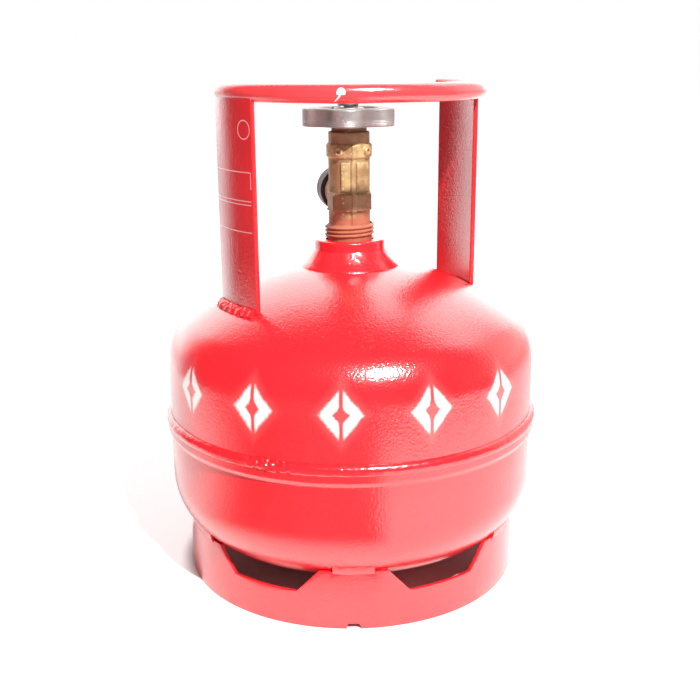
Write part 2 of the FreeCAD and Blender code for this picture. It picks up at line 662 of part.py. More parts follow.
def make_grip():
    body = new_body("grip_ring")
    sketch = new_sketch(body, "section", "YZ_Plane")
    draw_circle(sketch, "-grip_radius", "grip_z", "rod_radius")
    feature = body.newObject("PartDesign::Revolution", "grip_ring_bar")
    feature.Profile = sketch
    feature.ReferenceAxis = (sketch, ["V_Axis"])
    feature.Midplane = True
    feature.setExpression("Angle", bind("grip_angle"))
    finish(body, feature)
    dress(body, "Chamfer", "ends", lambda e: abs(e.Length - 2 * math.pi * value("rod_radius")) < 1e-3
          and e.BoundBox.YMin > 0, "rod_chamfer")

    body = new_body("grip_welds")
    face = "post_inner - seat_gap"
    under = "grip_radius - 0.2 * rod_radius"
    for label, turned in POST_TURNS.items():
        turn_solid(body, label + "_bead", [
            (face, "post_top_in - grip_weld_low"),
            (face, f"grip_z - sqrt(rod_seat ^ 2 - ({face} - grip_radius) ^ 2)"),
            (under, f"grip_z - sqrt(rod_seat ^ 2 - ({under} - grip_radius) ^ 2)", "rod_seat", -1),
        ], angle="grip_weld_angle", swing=turned)


def add_forging_marks(body):
    """Pads, parting ridge and bosses on the side of the forging away from the outlet."""
    def band(name, radius, low, high, angle, cut=False):
        turn_solid(body, name, [
            ("chamber_radius + wall" if not cut else "waist_radius", low),
            (radius, low),
            (radius, high),
            ("chamber_radius + wall" if not cut else "waist_radius", high),
        ], angle=angle, plane="YZ_Plane", swing="flash_turn", cut=cut)

    band("pads", "waist_radius + pad_proud", "pad_low_z", "pad_top_z", "pad_angle")
    band("pad_channel", "waist_radius + 2 * pad_proud", "pad_low_z", "pad_top_z", "pad_gap_angle", cut=True)
    turn_solid(body, "flash", [
        ("chamber_radius + wall", "cone_top_z + soft_edge"),
        ("shank_radius + flash_proud", "cone_top_z + soft_edge"),
        ("shank_radius + flash_proud", "shank_top_z - soft_edge"),
        ("band_radius + flash_proud - soft_edge", "shank_top_z - soft_edge"),
        ("band_radius + flash_proud", "shank_top_z"),
        ("band_radius + flash_proud", "band_top_z"),
        ("band_radius + flash_proud - soft_edge", "band_top_z + soft_edge"),
        ("waist_radius + flash_proud", "band_top_z + soft_edge"),
        ("waist_radius + flash_proud", "waist_top_z - soft_edge"),
        ("collar_radius + flash_proud", "waist_top_z"),
        ("collar_radius + flash_proud", "collar_top_z - soft_edge"),
        ("chamber_radius + wall", "collar_top_z - soft_edge"),
    ], angle="flash_angle", plane="YZ_Plane", swing="flash_turn")
    for side, sign in (("left", "-"), ("right", "+")):
        turned = f"flash_turn {sign} boss_angle"
        turn_solid(body, side + "_boss", [
            ("0", "chamber_radius + wall"),
            ("boss_radius", "chamber_radius + wall"),
            ("boss_radius", "boss_end - boss_proud / 3"),
            ("boss_radius - boss_proud / 3", "boss_end"),
            ("boss_hole", "boss_end"),
            ("0", "boss_end - boss_hole"),
        ], plane="XY_Plane", lift="boss_z", turn=turned)


def make_valve_body():
    body = new_body("valve_body")
    step = "soft_edge"
    turn_solid(body, "forging", [
        ("0", "cone_low_z"),
        ("cone_radius - cone_slope * cone_depth", "cone_low_z"),
        ("cone_radius + cone_slope * cone_show", "cone_top_z"),
        ("shank_radius", "cone_top_z"),
        ("shank_radius", f"shank_top_z - {step}"),
        (f"band_radius - {step}", "shank_top_z"),
        ("band_radius", f"shank_top_z + {step}"),
        ("band_radius", f"band_top_z - {step}"),
        (f"band_radius - {step}", "band_top_z"),
        ("waist_radius", "band_top_z"),
        ("waist_radius", "waist_top_z"),
        (f"collar_radius - {step}", "waist_top_z"),
        ("collar_radius", f"waist_top_z + {step}"),
        ("collar_radius", f"collar_top_z - {step}"),
        (f"collar_radius - {step}", "collar_top_z"),
        ("head_radius", "collar_top_z"),
        ("head_radius", f"head_top_z - {step}"),
        (f"head_radius - {step}", "head_top_z"),
        ("0", "head_top_z"),
    ])
    sketch = new_sketch(body, "flats_outline", "XY_Plane", lift="shank_top_z", turn="-outlet_turn")
    far = "band_radius + wall"
    for sign in ("", "-"):
        near, away = f"{sign}flat_reach", f"{sign}({far})"
        corners = [(near, f"-({far})"), (away, f"-({far})"), (away, far), (near, far)]
        draw_loop(sketch, corners if not sign else corners[::-1])
    feature = body.newObject("PartDesign::Pocket", "valve_body_flats")
    feature.Profile = sketch
    feature.setExpression("Length", bind("band_height"))
    feature.Reversed = True
    finish(body, feature)
    turn_solid(body, "branch", [
        ("0", "0"),
        ("branch_radius", "0"),
        ("branch_radius", "branch_end"),
        ("relief_radius", "branch_end"),
        ("relief_radius", "relief_end"),
        ("outlet_radius", "relief_end + outlet_radius - relief_radius"),
        ("outlet_radius", "outlet_end - soft_edge"),
        ("outlet_radius - soft_edge", "outlet_end"),
        ("0", "outlet_end"),
    ], plane="XY_Plane", lift="outlet_z", turn="-outlet_turn")
    add_forging_marks(body)
    turn_solid(body, "bore", [
        ("0", "cone_low_z - wall"),
        ("inlet_bore", "cone_low_z - wall"),
        ("inlet_bore", "seat_z"),
        ("seat_outer", "seat_z"),
        ("seat_outer", "chamber_low_z"),
        ("chamber_radius", "chamber_low_z"),
        ("chamber_radius", "chamber_top_z"),
        ("plug_radius + thread_gap", "chamber_top_z"),
        ("plug_radius + thread_gap", "gland_floor_z"),
        ("gland_bore", "gland_floor_z"),
        ("gland_bore", "head_top_z + wall"),
        ("0", "head_top_z + wall"),
    ], cut=True)
    turn_solid(body, "outlet", [
        ("0", "inlet_bore"),
        ("outlet_bore", "inlet_bore"),
        ("outlet_bore", "outlet_end - mouth_depth"),
        ("mouth_bore", "outlet_end - mouth_depth"),
        ("mouth_bore", "outlet_end + wall"),
        ("0", "outlet_end + wall"),
    ], plane="XY_Plane", lift="outlet_z", turn="-outlet_turn", cut=True)


def make_plug():
    body = new_body("valve_plug")
    turn_solid(body, "turning", [
        ("0", "holder_roof_z"),
        ("insert_radius + seat_gap", "holder_roof_z"),
        ("insert_radius + seat_gap", "holder_low_z"),
        ("plug_foot", "holder_low_z"),
        ("plug_foot", "holder_top_z"),
        ("plug_neck", "holder_top_z"),
        ("plug_neck", "plug_thread_z"),
        ("plug_radius", "plug_thread_z"),
        ("plug_radius", "plug_thread_top_z"),
        ("0", "plug_thread_top_z"),
    ])
    sketch = new_sketch(body, "square", "XY_Plane", lift="plug_thread_top_z")
    draw_polygon(sketch, 4, "square_half")
    raise_solid(body, "drive", sketch, "plug_square")

    body = new_body("seat_insert")
    turn_solid(body, "disc", [
        ("0", "plug_low_z"),
        ("insert_radius", "plug_low_z"),
        ("insert_radius", "plug_low_z + insert_height"),
        ("0", "plug_low_z + insert_height"),
    ])


def make_spindle():
    body = new_body("drive_coupling")
    turn_solid(body, "sleeve", [
        ("0", "sleeve_low_z"),
        ("sleeve_radius", "sleeve_low_z"),
        ("sleeve_radius", "sleeve_top_z"),
        ("0", "sleeve_top_z"),
    ])
    sketch = new_sketch(body, "socket", "XY_Plane", lift="sleeve_low_z")
    draw_polygon(sketch, 4, "socket_half")
    raise_solid(body, "broach", sketch, "sleeve_top_z - sleeve_low_z", cut=True)

    body = new_body("spindle")
    turn_solid(body, "turning", [
        ("0", "collar_seat_z"),
        ("spindle_collar", "collar_seat_z"),
        ("spindle_collar", "spindle_collar_z"),
        ("spindle_radius", "spindle_collar_z"),
        ("spindle_radius", "square_start_z"),
        ("0", "square_start_z"),
    ])
    sketch = new_sketch(body, "lower_square", "XY_Plane", lift="spindle_low_z")
    draw_polygon(sketch, 4, "square_half")
    raise_solid(body, "tang", sketch, "spindle_square")
    sketch = new_sketch(body, "upper_square", "XY_Plane", lift="square_start_z")
    draw_polygon(sketch, 4, "square_half")
    raise_solid(body, "square", sketch, "square_end_z - square_start_z")
    turn_solid(body, "stud", [
        ("0", "square_end_z"),
        ("stud_radius", "square_end_z"),
        ("stud_radius", "stud_top_z - soft_edge"),
        ("stud_radius - soft_edge", "stud_top_z"),
        ("0", "stud_top_z"),
    ])

    body = new_body("spindle_gasket")
    turn_solid(body, "ring", [
        ("spindle_bore", "packing_z"),
        ("gland_bore - seat_gap", "packing_z"),
        ("gland_bore - seat_gap", "packing_top_z"),
        ("spindle_bore", "packing_top_z"),
    ])

    body = new_body("gland_nut")
    turn_solid(body, "turning", [
        ("spindle_bore", "nut_low_z"),
        ("nut_thread", "nut_low_z"),
        ("nut_thread", "nut_seat_z"),
        ("spindle_bore", "nut_seat_z"),
    ])
    sketch = new_sketch(body, "hexagon", "XY_Plane", lift="nut_seat_z")
    draw_polygon(sketch, 6, "nut_flats")
    draw_circle(sketch, "0", "0", "spindle_bore")
    raise_solid(body, "head", sketch, "nut_flange_height")
    turn_solid(body, "crown", [
        ("nut_crown", "nut_top_z"),
        ("nut_corner + soft_edge", "nut_top_z - nut_crown_drop * (nut_corner + soft_edge - nut_crown)"
                                   " / (nut_corner - nut_crown)"),
        ("nut_corner + soft_edge", "nut_top_z"),
    ], cut=True)


def wheel_outline():
    """Lobes joined by hollow valleys, as a loop of tangent arcs."""
    points = []
    for index in range(int(value("lobe_count"))):
        for side in (-1, 1):
            valley = f"(2 * {index} + {side}) * half_pitch"
            lobe = f"2 * {index} * half_pitch"
            pull = "lobe_radius / (lobe_radius + valley_radius)"
            x, y = [
                f"lobe_reach * {wave}({lobe}) * (1 - {pull}) + valley_centre * {wave}({valley}) * {pull}"
                for wave in ("cos", "sin")
            ]
            points.append((x, y, "valley_radius", -1) if side < 0 else (x, y, "lobe_radius", 1))
    return points


def make_handwheel():
    body = new_body("handwheel")
    sketch = new_sketch(body, "outline", "XY_Plane", lift="wheel_z", turn="lobe_turn - 90")
    draw_loop(sketch, wheel_outline())
    raise_solid(body, "casting", sketch, "wheel_height")
    rim = [flat_at("wheel_z"), flat_at("wheel_top_z")]
    dress(body, "Fillet", "rim", lambda edge: any(test(edge) for test in rim), "wheel_edge")
    turn_solid(body, "dish_top", [
        ("hub_radius", "wheel_top_z - dish_top"),
        ("dish_radius", "wheel_top_z - dish_top"),
        ("dish_radius + dish_top / 4", "wheel_top_z + wall"),
        ("hub_radius - dish_top / 4", "wheel_top_z + wall"),
    ], cut=True)
    turn_solid(body, "dish_under", [
        ("hub_radius - dish_under / 4", "wheel_z - wall"),
        ("dish_radius + dish_under / 4", "wheel_z - wall"),
        ("dish_radius", "wheel_z + dish_under"),
        ("hub_radius", "wheel_z + dish_under"),
    ], cut=True)
    sketch = new_sketch(body, "socket", "XY_Plane", lift="wheel_z - wall")
    draw_polygon(sketch, 4, "socket_half")
    raise_solid(body, "broach", sketch, "wheel_height + 2 * wall", cut=True)

    body = new_body("handwheel_spring")
    sketch = new_sketch(body, "wire")
    draw_circle(sketch, "coil_radius", "coil_base_z", "wire_radius")
    spring = body.newObject("PartDesign::AdditiveHelix", "handwheel_spring_coil")
    spring.Profile = sketch
    spring.ReferenceAxis = (sketch, ["V_Axis"])
    spring.Mode = "pitch-height-angle"
    spring.setExpression("Pitch", bind("coil_pitch"))
    spring.setExpression("Height", bind("coil_height"))
    finish(body, spring)

    body = new_body("spring_washer")
    turn_solid(body, "ring", [
        ("stud_radius + square_gap", "washer_z"),
        ("washer_radius", "washer_z"),
        ("washer_radius", "washer_z + washer_height"),
        ("stud_radius + square_gap", "washer_z + washer_height"),
    ])

    body = new_body("top_nut")
    sketch = new_sketch(body, "hexagon", "XY_Plane", lift="top_nut_z")
    draw_polygon(sketch, 6, "nut_flat")
    draw_circle(sketch, "0", "0", "stud_radius + thread_gap")
    raise_solid(body, "blank", sketch, "top_nut_height")


def lay_along_outlet(body):
    """Turn a body whose own Z axis is the outlet's axis into its place."""
    body.setExpression("Placement.Base.z", bind("outlet_z"))
    lie_down = FreeCAD.Rotation(FreeCAD.Vector(1, 0, 0), -90)
    swing = FreeCAD.Rotation(FreeCAD.Vector(0, 0, 1), -value("outlet_turn"))
    body.Placement.Rotation = swing.multiply(lie_down)


def make_outlet_cap():
    body = new_body("outlet_gasket")
    turn_solid(body, "disc", [
        ("0", "disc_start"),
        ("disc_radius", "disc_start"),
        ("disc_radius", "disc_end"),
        ("0", "disc_end"),
    ])
    lay_along_outlet(body)
    body = new_body("outlet_cap")
    turn_solid(body, "moulding", [
        ("0", "cap_roof"),
        ("cap_bore", "cap_roof"),
        ("cap_bore", "cap_start + cap_lead"),
        ("cap_bore + cap_lead", "cap_start"),
        ("cap_radius", "cap_start"),
        ("cap_radius", "cap_end - cap_edge"),
        ("cap_radius - cap_edge", "cap_end", "cap_edge", 1),
        ("0", "cap_end"),
    ])
    lay_along_outlet(body)


def write_parts():
    """Check every piece and write it to its own file."""
    os.makedirs("parts", exist_ok=True)
    for item in doc.Objects:
        if "Invalid" in item.State or "Error" in item.State:
            raise RuntimeError(f"{item.Label} is in state {item.State}")
    for node in nodes:
        shape = node.Shape
        if shape.isNull() or not shape.isValid() or not shape.Solids:
            raise RuntimeError(f"{node.Label} is not a valid solid")
        shape.exportStep(f"parts/{node.Label}.step")
        box = shape.BoundBox
        print(f"{node.Label:18s} {len(shape.Solids)} solid  {shape.Volume:12.1f} mm3"
              f"  x {box.XMin:8.2f} {box.XMax:8.2f}  y {box.YMin:8.2f} {box.YMax:8.2f}"
              f"  z {box.ZMin:8.2f} {box.ZMax:8.2f}")


doc = FreeCAD.newDocument("gas_cylinder")
nodes = []
sheet = make_sheets(doc)

make_upper_dish()
make_lower_dish()
make_girth_weld()
make_neck()
make_foot()
make_posts()
make_grip()
make_valve_body()
make_plug()
make_spindle()
make_handwheel()
make_outlet_cap()

doc.recompute()
write_parts()
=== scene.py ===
from math import acos, atan2, cos, degrees, hypot, pi, radians, sin, sqrt, tan

import bpy
from bpy.props import FloatProperty, FloatVectorProperty, IntProperty, PointerProperty
from mathutils import Matrix, Vector


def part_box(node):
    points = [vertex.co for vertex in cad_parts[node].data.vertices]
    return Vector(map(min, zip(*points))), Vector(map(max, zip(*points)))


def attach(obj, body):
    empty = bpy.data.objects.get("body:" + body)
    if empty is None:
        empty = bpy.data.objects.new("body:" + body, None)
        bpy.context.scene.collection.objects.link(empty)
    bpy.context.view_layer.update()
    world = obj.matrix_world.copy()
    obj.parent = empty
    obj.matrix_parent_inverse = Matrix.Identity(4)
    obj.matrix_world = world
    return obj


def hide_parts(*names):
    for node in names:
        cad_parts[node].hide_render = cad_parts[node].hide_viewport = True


bl_info = {
    "name": "Small Gas Cylinder",
    "version": (1, 0, 0),
    "blender": (4, 5, 0),
    "location": "3D View > Sidebar > Cylinder",
    "description": "Makes the pieces, finishes and studio of a small red gas cylinder",
    "category": "Object",
}

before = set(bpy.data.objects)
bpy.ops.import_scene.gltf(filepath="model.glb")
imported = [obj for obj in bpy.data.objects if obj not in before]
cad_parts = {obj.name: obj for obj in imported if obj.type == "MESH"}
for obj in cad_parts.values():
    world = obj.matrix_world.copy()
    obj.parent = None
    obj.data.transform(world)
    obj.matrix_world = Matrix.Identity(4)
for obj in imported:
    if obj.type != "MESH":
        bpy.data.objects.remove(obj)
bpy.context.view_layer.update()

MM = 0.001
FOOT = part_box("foot_ring")
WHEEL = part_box("handwheel")
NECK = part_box("neck_boss")

# Bearings are degrees from -Y toward +X. Numbers in a piece's outline are millimetres.
CAMERA_AT = -30.5       # bearing of the camera's side
POST_AT = 86.25         # bearing of the plain post; the panelled one stands opposite
OUTLET_TURN = 18.5      # how far the outlet is turned from straight behind
OUTLET_LEVEL = 229.53   # level of the outlet's centre line
DOME = 168.0            # outside radius of the upper end's dome
DOME_CENTRE = 21.7977   # level of the dome's centre
BEAD_GAP = 0.05         # gap between a bead and the face that it lies on
CAST_GRAIN = 0.4 * MM   # size of the skin's cells on a casting or a forging
A_DEGREE = 1.38         # width of one degree on the face of a post or the bar


def length(name, description, default):
    return FloatProperty(name=name, description=description, default=default, unit="LENGTH", subtype="DISTANCE")


def colour(name, description, default):
    return FloatVectorProperty(name=name, description=description, default=default, size=3, min=0, max=1,
                               subtype="COLOR")


class CylinderSizes(bpy.types.PropertyGroup):
    """Sizes of the steel shell, its foot and its grip."""
    radius: length("Vessel radius", "Outside radius of both dished ends", 111.0 * MM)
    wall: length("Wall", "Sheet thickness of the dished ends", 2.0 * MM)
    foot_radius: length("Foot radius", "Outside radius of the foot ring", (FOOT[1].y - FOOT[0].y) / 2)
    foot_wall: length("Foot wall", "Sheet thickness of the foot ring", 2.0 * MM)
    vent_depth: length("Vent depth", "Depth of a vent below the foot's top edge", 13.9 * MM)
    vent_sill: length("Vent sill", "Half width of a vent at its lower edge", 20.8 * MM)
    vent_top: length("Vent top", "Half width of a vent at the foot's top edge", 33.4 * MM)
    grip_radius: length("Grip radius", "Radius of the grip's centre line", 74.5 * MM)
    grip_height: length("Grip height", "Level of the grip's centre line", 289.997 * MM)
    rod: length("Bar", "Radius of the grip's bar", 5.0 * MM)
    post_radius: length("Post radius", "Radius of a post's outer face", 79.0 * MM)
    post_wall: length("Post wall", "Sheet thickness of a post", 3.0 * MM)
    vents: IntProperty(name="Vents", description="Vents around the foot", default=6, min=3, max=12)


class CylinderColours(bpy.types.PropertyGroup):
    """Base colours of the finishes."""
    enamel: colour("Enamel", "Red enamel of the shell, foot and grip", (0.88, 0.016, 0.026))
    marks: colour("Marks", "Stencilled marks around the shoulder", (0.90, 0.89, 0.87))
    brass: colour("Brass", "Forged brass of the valve", (0.70, 0.55, 0.28))
    aluminium: colour("Cast aluminium", "Handwheel", (0.46, 0.44, 0.44))
    steel: colour("Steel", "Spindle, spring, washer and nut", (0.46, 0.44, 0.42))
    cap: colour("Cap", "Moulded cap over the outlet", (0.085, 0.055, 0.06))


# ---------------------------------------------------------------- modelling


def leave_edit():
    if bpy.context.object and bpy.context.object.mode != "OBJECT":
        bpy.ops.object.mode_set(mode="OBJECT")


def only(piece):
    """Make one object the only one selected, and active."""
    leave_edit()
    bpy.ops.object.select_all(action="DESELECT")
    piece.select_set(True)
    bpy.context.view_layer.objects.active = piece


def edit(piece):
    only(piece)
    bpy.ops.object.mode_set(mode="EDIT")
    bpy.ops.mesh.select_mode(type="VERT")


def pick(piece, test, kind="vertices"):
    """In edit mode, select the vertices or polygons whose place passes a test."""
    bpy.ops.mesh.select_all(action="DESELECT")
    bpy.ops.object.mode_set(mode="OBJECT")
    for item in getattr(piece.data, kind):
        if test(item.co if kind == "vertices" else item.center):
            item.select = True
    bpy.ops.object.mode_set(mode="EDIT")


def merge(reach=1e-6):
    """In edit mode, select the whole mesh and merge the vertices that lie together."""
    bpy.ops.mesh.select_all(action="SELECT")
    bpy.ops.mesh.remove_doubles(threshold=reach)


def face_out():
    """Point the selected faces outwards and leave edit mode."""
    bpy.ops.mesh.normals_make_consistent(inside=False)
    bpy.ops.object.mode_set(mode="OBJECT")


def modify(piece, kind, **settings):
    """Add a modifier and apply it."""
    only(piece)
    bpy.ops.object.modifier_add(type=kind)
    modifier = piece.modifiers[-1]
    for name, setting in settings.items():
        setattr(modifier, name, setting)
    bpy.ops.object.modifier_apply(modifier=modifier.name)


def soften(piece, width, segments=3, angle=30):
    modify(piece, "BEVEL", width=width, segments=segments, limit_method="ANGLE", angle_limit=radians(angle))


def carve(piece, tool, operation="DIFFERENCE"):
    """Join a tool to a piece, or cut it away, and remove the tool."""
    modify(piece, "BOOLEAN", object=tool, operation=operation, solver="EXACT")
    bpy.data.objects.remove(tool)


def roughen(piece, depth, grain, group=""):
    """Push the surface in and out by a soft random pattern, as on a weld or a casting."""
    clouds = bpy.data.textures.new(piece.name + "_grain", "CLOUDS")
    clouds.noise_scale = grain
    clouds.noise_depth = 2
    modify(piece, "DISPLACE", texture=clouds, texture_coords="LOCAL", strength=depth, mid_level=0.5,
           vertex_group=group)
    bpy.data.textures.remove(clouds)


def cast(piece, grain, smoothing):
    """Close a joined shape into one skin with the soft edges of a casting or a forging."""
    modify(piece, "REMESH", mode="VOXEL", voxel_size=grain)
    modify(piece, "SMOOTH", factor=0.5, iterations=smoothing)


def shade(piece, angle=35):
    only(piece)
    bpy.ops.object.shade_smooth_by_angle(angle=radians(angle))


def settle(piece, turn, place):
    """Give a piece its turn and its place in its own mesh."""
    only(piece)
    piece.matrix_world = Matrix.Translation(place) @ turn.to_4x4()
    bpy.ops.object.transform_apply(location=True, rotation=True, scale=True)


def hand_over(piece, body, slot, material, *nodes):
    """Finish a piece: its material, the CAD nodes that it stands for and the body that it rides on."""
    leave_edit()
    piece.data.materials.clear()
    piece.data.materials.append(material)
    if nodes:
        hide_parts(*nodes)
    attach(piece, body)


def enamelled(piece, skin, node, angle=35):
    """Shade a piece of enamelled sheet, bar or weld, and hand it over for one CAD node."""
    shade(piece, angle)
    hand_over(piece, "tank", "red_enamel", finish(skin), node)


class Outline:
    """A wire drawn end to end in a plane through an axis, in millimetres, to be turned about that axis."""

    def __init__(self, name, start, origin=(0, 0, 0), out=(1, 0, 0), along=(0, 0, 1)):
        self.origin = Vector(origin)
        self.out = Vector(out).normalized()
        self.along = Vector(along).normalized()
        self.at = start
        self.first = start
        leave_edit()
        bpy.ops.object.select_all(action="DESELECT")
        bpy.ops.mesh.primitive_plane_add(size=MM, location=(0, 0, 0))
        self.piece = bpy.context.object
        self.piece.name = name
        bpy.ops.object.mode_set(mode="EDIT")
        bpy.ops.mesh.select_all(action="SELECT")
        bpy.ops.mesh.merge(type="CENTER")
        bpy.ops.transform.translate(value=self.place(start))

    def place(self, point):
        return self.origin + (self.out * point[0] + self.along * point[1]) * MM

    def line(self, r, h):
        step = self.place((r, h)) - self.place(self.at)
        bpy.ops.mesh.extrude_region_move(TRANSFORM_OT_translate={"value": step})
        self.at = (r, h)

    def arc(self, centre_r, centre_h, angle, steps):
        """Turn about a centre, counter-clockwise with the axis upwards for a positive angle."""
        bpy.ops.mesh.spin(steps=steps, angle=radians(angle), center=self.place((centre_r, centre_h)),
                          axis=self.along.cross(self.out))
        r, h = self.at[0] - centre_r, self.at[1] - centre_h
        c, s = cos(radians(angle)), sin(radians(angle))
        self.at = (centre_r + r * c - h * s, centre_h + r * s + h * c)

    def bow(self, r, h, radius, side, steps=8):
        """Arc to a point with its centre on the left (side 1) or on the right (side -1)."""
        dr, dh = r - self.at[0], h - self.at[1]
        span = hypot(dr, dh)
        reach = sqrt(max(radius ** 2 - span ** 2 / 4, 0)) * side
        centre = ((self.at[0] + r) / 2 - dh / span * reach, (self.at[1] + h) / 2 + dr / span * reach)
        angle = 2 * degrees(atan2(span / 2, abs(reach))) * side
        self.arc(centre[0], centre[1], angle, steps)
        self.at = (r, h)

    def path(self, points):
        """Lines to (r, h), and bows to (r, h, radius, side)."""
        for point in points:
            if len(point) == 2:
                self.line(*point)
            else:
                self.bow(*point)
        return self

    def close(self):
        self.line(*self.first)
        merge()
        return self

    def turn(self, angle=360, steps=192):
        """Spin the wire about the axis, close what is open and point its faces outwards."""
        bpy.ops.mesh.select_all(action="SELECT")
        bpy.ops.mesh.spin(steps=steps, angle=radians(angle), center=self.origin, axis=self.along)
        merge()
        if angle < 360:
            bpy.ops.mesh.fill_holes(sides=0)
        face_out()
        return self.piece

    def raise_up(self, height):
        """Fill the closed wire and draw it out along a direction square to its plane."""
        bpy.ops.mesh.select_all(action="SELECT")
        bpy.ops.mesh.edge_face_add()
        rise = self.out.cross(self.along) * height * MM
        bpy.ops.mesh.extrude_region_move(TRANSFORM_OT_translate={"value": rise})
        bpy.ops.mesh.select_all(action="SELECT")
        face_out()
        return self.piece


def bearing(angle):
    """Level direction at an angle from -Y toward +X."""
    return Vector((sin(radians(angle)), -cos(radians(angle)), 0))


def turned(name, points, steps=192, angle=360, **where):
    """A wire through points, turned about its axis; it is closed unless both of its ends lie on the axis."""
    outline = Outline(name, points[0], **where).path(points[1:])
    if points[-1][0] != 0:
        outline.close()
    return outline.turn(angle, steps)


def partial(name, points, middle, angle, steps):
    """A closed section turned through part of a circle, centred on a bearing."""
    return turned(name, points, steps, angle, out=bearing(middle + angle / 2))


def join(name, pieces):
    """Put several meshes into one object."""
    only(pieces[0])
    for piece in pieces[1:]:
        piece.select_set(True)
    bpy.ops.object.join()
    pieces[0].name = name
    return pieces[0]


def twin(piece, angle):
    """A copy of a piece with its own mesh, turned about the cylinder's axis."""
    only(piece)
    bpy.ops.object.duplicate(linked=False)
    copy = bpy.context.object
    settle(copy, Matrix.Rotation(radians(angle), 3, "Z"), (0, 0, 0))
    return copy


def thread(name, root, crest, pitch, turns, hand=1, steps=64):
    """A ridge wound about Z from the origin upwards; hand -1 winds it the other way."""
    outline = Outline(name, (root, 0))
    outline.path([(crest, pitch * 0.42), (crest, pitch * 0.52), (root, pitch * 0.94)]).close()
    bpy.ops.object.mode_set(mode="OBJECT")
    piece = outline.piece
    modify(piece, "SCREW", axis="Z", angle=2 * pi * hand, screw_offset=pitch * MM, iterations=turns, steps=steps,
           render_steps=steps, use_merge_vertices=False)
    edit(piece)
    merge(1e-7)
    bpy.ops.mesh.fill_holes(sides=0)
    face_out()
    return piece


# ---------------------------------------------------------------- materials


class Nodes:
    """Adds nodes to a tree and joins them; a number, colour or output can feed any input."""

    def __init__(self, tree):
        self.tree = tree

    def add(self, kind, feeds=None, **settings):
        node = self.tree.nodes.new(kind)
        for name, setting in settings.items():
            setattr(node, name, setting)
        for name, feed in (feeds or {}).items():
            self.feed(node.inputs[name], feed)
        return node

    def feed(self, socket, feed):
        if isinstance(feed, bpy.types.NodeSocket):
            self.tree.links.new(feed, socket)
        elif socket.type == "RGBA" and len(feed) == 3:
            socket.default_value = (*feed, 1)
        else:
            socket.default_value = feed

    def math(self, operation, a, b=0.0, clamp=False):
        return self.add("ShaderNodeMath", {0: a, 1: b}, operation=operation, use_clamp=clamp).outputs[0]

    def plus(self, a, b):
        return self.math("ADD", a, b)

    def minus(self, a, b, clamp=False):
        return self.math("SUBTRACT", a, b, clamp)

    def times(self, a, b, clamp=False):
        return self.math("MULTIPLY", a, b, clamp)

    def over(self, a, b):
        return self.math("DIVIDE", a, b)

    def magnitude(self, value):
        return self.math("ABSOLUTE", value)

    def between(self, value, low, high):
        """0 below low and 1 above high, eased; high may be under low."""
        return self.add("ShaderNodeMapRange", {"Value": value, "From Min": low, "From Max": high},
                        interpolation_type="SMOOTHSTEP").outputs[0]

    def band(self, value, low, full, last, high):
        """1 from full to last, easing to 0 at low and at high."""
        return self.times(self.between(value, low, full), self.between(value, high, last))

    def noise(self, vector, scale, detail=3.0, roughness=0.55):
        return self.add("ShaderNodeTexNoise", {"Vector": vector, "Scale": scale, "Detail": detail,
                                               "Roughness": roughness}).outputs["Fac"]

    def uneven(self, vector, scale, detail, reach):
        """Noise about zero, to shake a line or a level."""
        return self.times(self.minus(self.noise(vector, scale, detail), 0.5), reach)

    def mix(self, factor, a, b):
        return self.add("ShaderNodeMix", {0: factor, 6: a, 7: b}, data_type="RGBA").outputs[2]

    def place(self):
        return self.add("ShaderNodeTexCoord").outputs["Object"]

    def group(self, name, **feeds):
        return self.add("ShaderNodeGroup", feeds, node_tree=bpy.data.node_groups[name]).outputs


def new_group(name, inputs, outputs):
    """A shader node group with named sockets: its nodes, what it is given and what it puts out."""
    tree = bpy.data.node_groups.new(name, "ShaderNodeTree")
    for label, default in inputs.items():
        socket = tree.interface.new_socket(name=label, in_out="INPUT", socket_type="NodeSocketFloat")
        socket.default_value = default
    for label in outputs:
        tree.interface.new_socket(name=label, in_out="OUTPUT", socket_type="NodeSocketFloat")
    return Nodes(tree), tree.nodes.new("NodeGroupInput").outputs, tree.nodes.new("NodeGroupOutput").inputs


def about_axis_group():
    """Bearing in degrees from -Y toward +X, height and radius in millimetres."""
    n, _, result = new_group("About the axis", {}, ["Bearing", "Height", "Radius"])
    x, y, z = n.add("ShaderNodeSeparateXYZ", {0: n.place()}).outputs
    n.feed(result["Bearing"], n.times(n.math("ARCTAN2", x, n.times(y, -1.0)), 180 / pi))
    n.feed(result["Height"], n.times(z, 1 / MM))
    across = n.math("SQRT", n.plus(n.times(x, x), n.times(y, y)))
    n.feed(result["Radius"], n.times(across, 1 / MM))


def enamel_skin_group():
    """Sprayed enamel: orange peel, slow waves of the sheet under it, and thin specks of dust."""
    n, given, result = new_group("Enamel skin", {"Peel": 0.5, "Waves": 0.5}, ["Height", "Specks", "Clouds"])
    place = n.place()
    peel = n.times(n.noise(place, 760.0, 2.0), given["Peel"])
    waves = n.times(n.noise(place, 60.0, 2.0), given["Waves"])
    n.feed(result["Height"], n.plus(peel, waves))
    specks = n.between(n.noise(place, 900.0, 1.0), 0.76, 0.83)
    patches = n.between(n.noise(place, 35.0, 3.0), 0.52, 0.75)
    n.feed(result["Specks"], n.times(specks, patches))
    n.feed(result["Clouds"], n.noise(place, 18.0, 4.0))


def wear_group():
    """Where edges stand proud and rub bright, broken up by noise, and where hollows stay dark."""
    n, given, result = new_group("Edge rub", {"Reach": 0.52, "Grain": 400.0}, ["Mask", "Hollow"])
    point = n.add("ShaderNodeNewGeometry").outputs["Pointiness"]
    height = n.plus(point, n.uneven(n.place(), given["Grain"], 3.0, 0.08))
    n.feed(result["Mask"], n.between(height, given["Reach"], 0.6))
    n.feed(result["Hollow"], n.between(height, 0.48, 0.42))


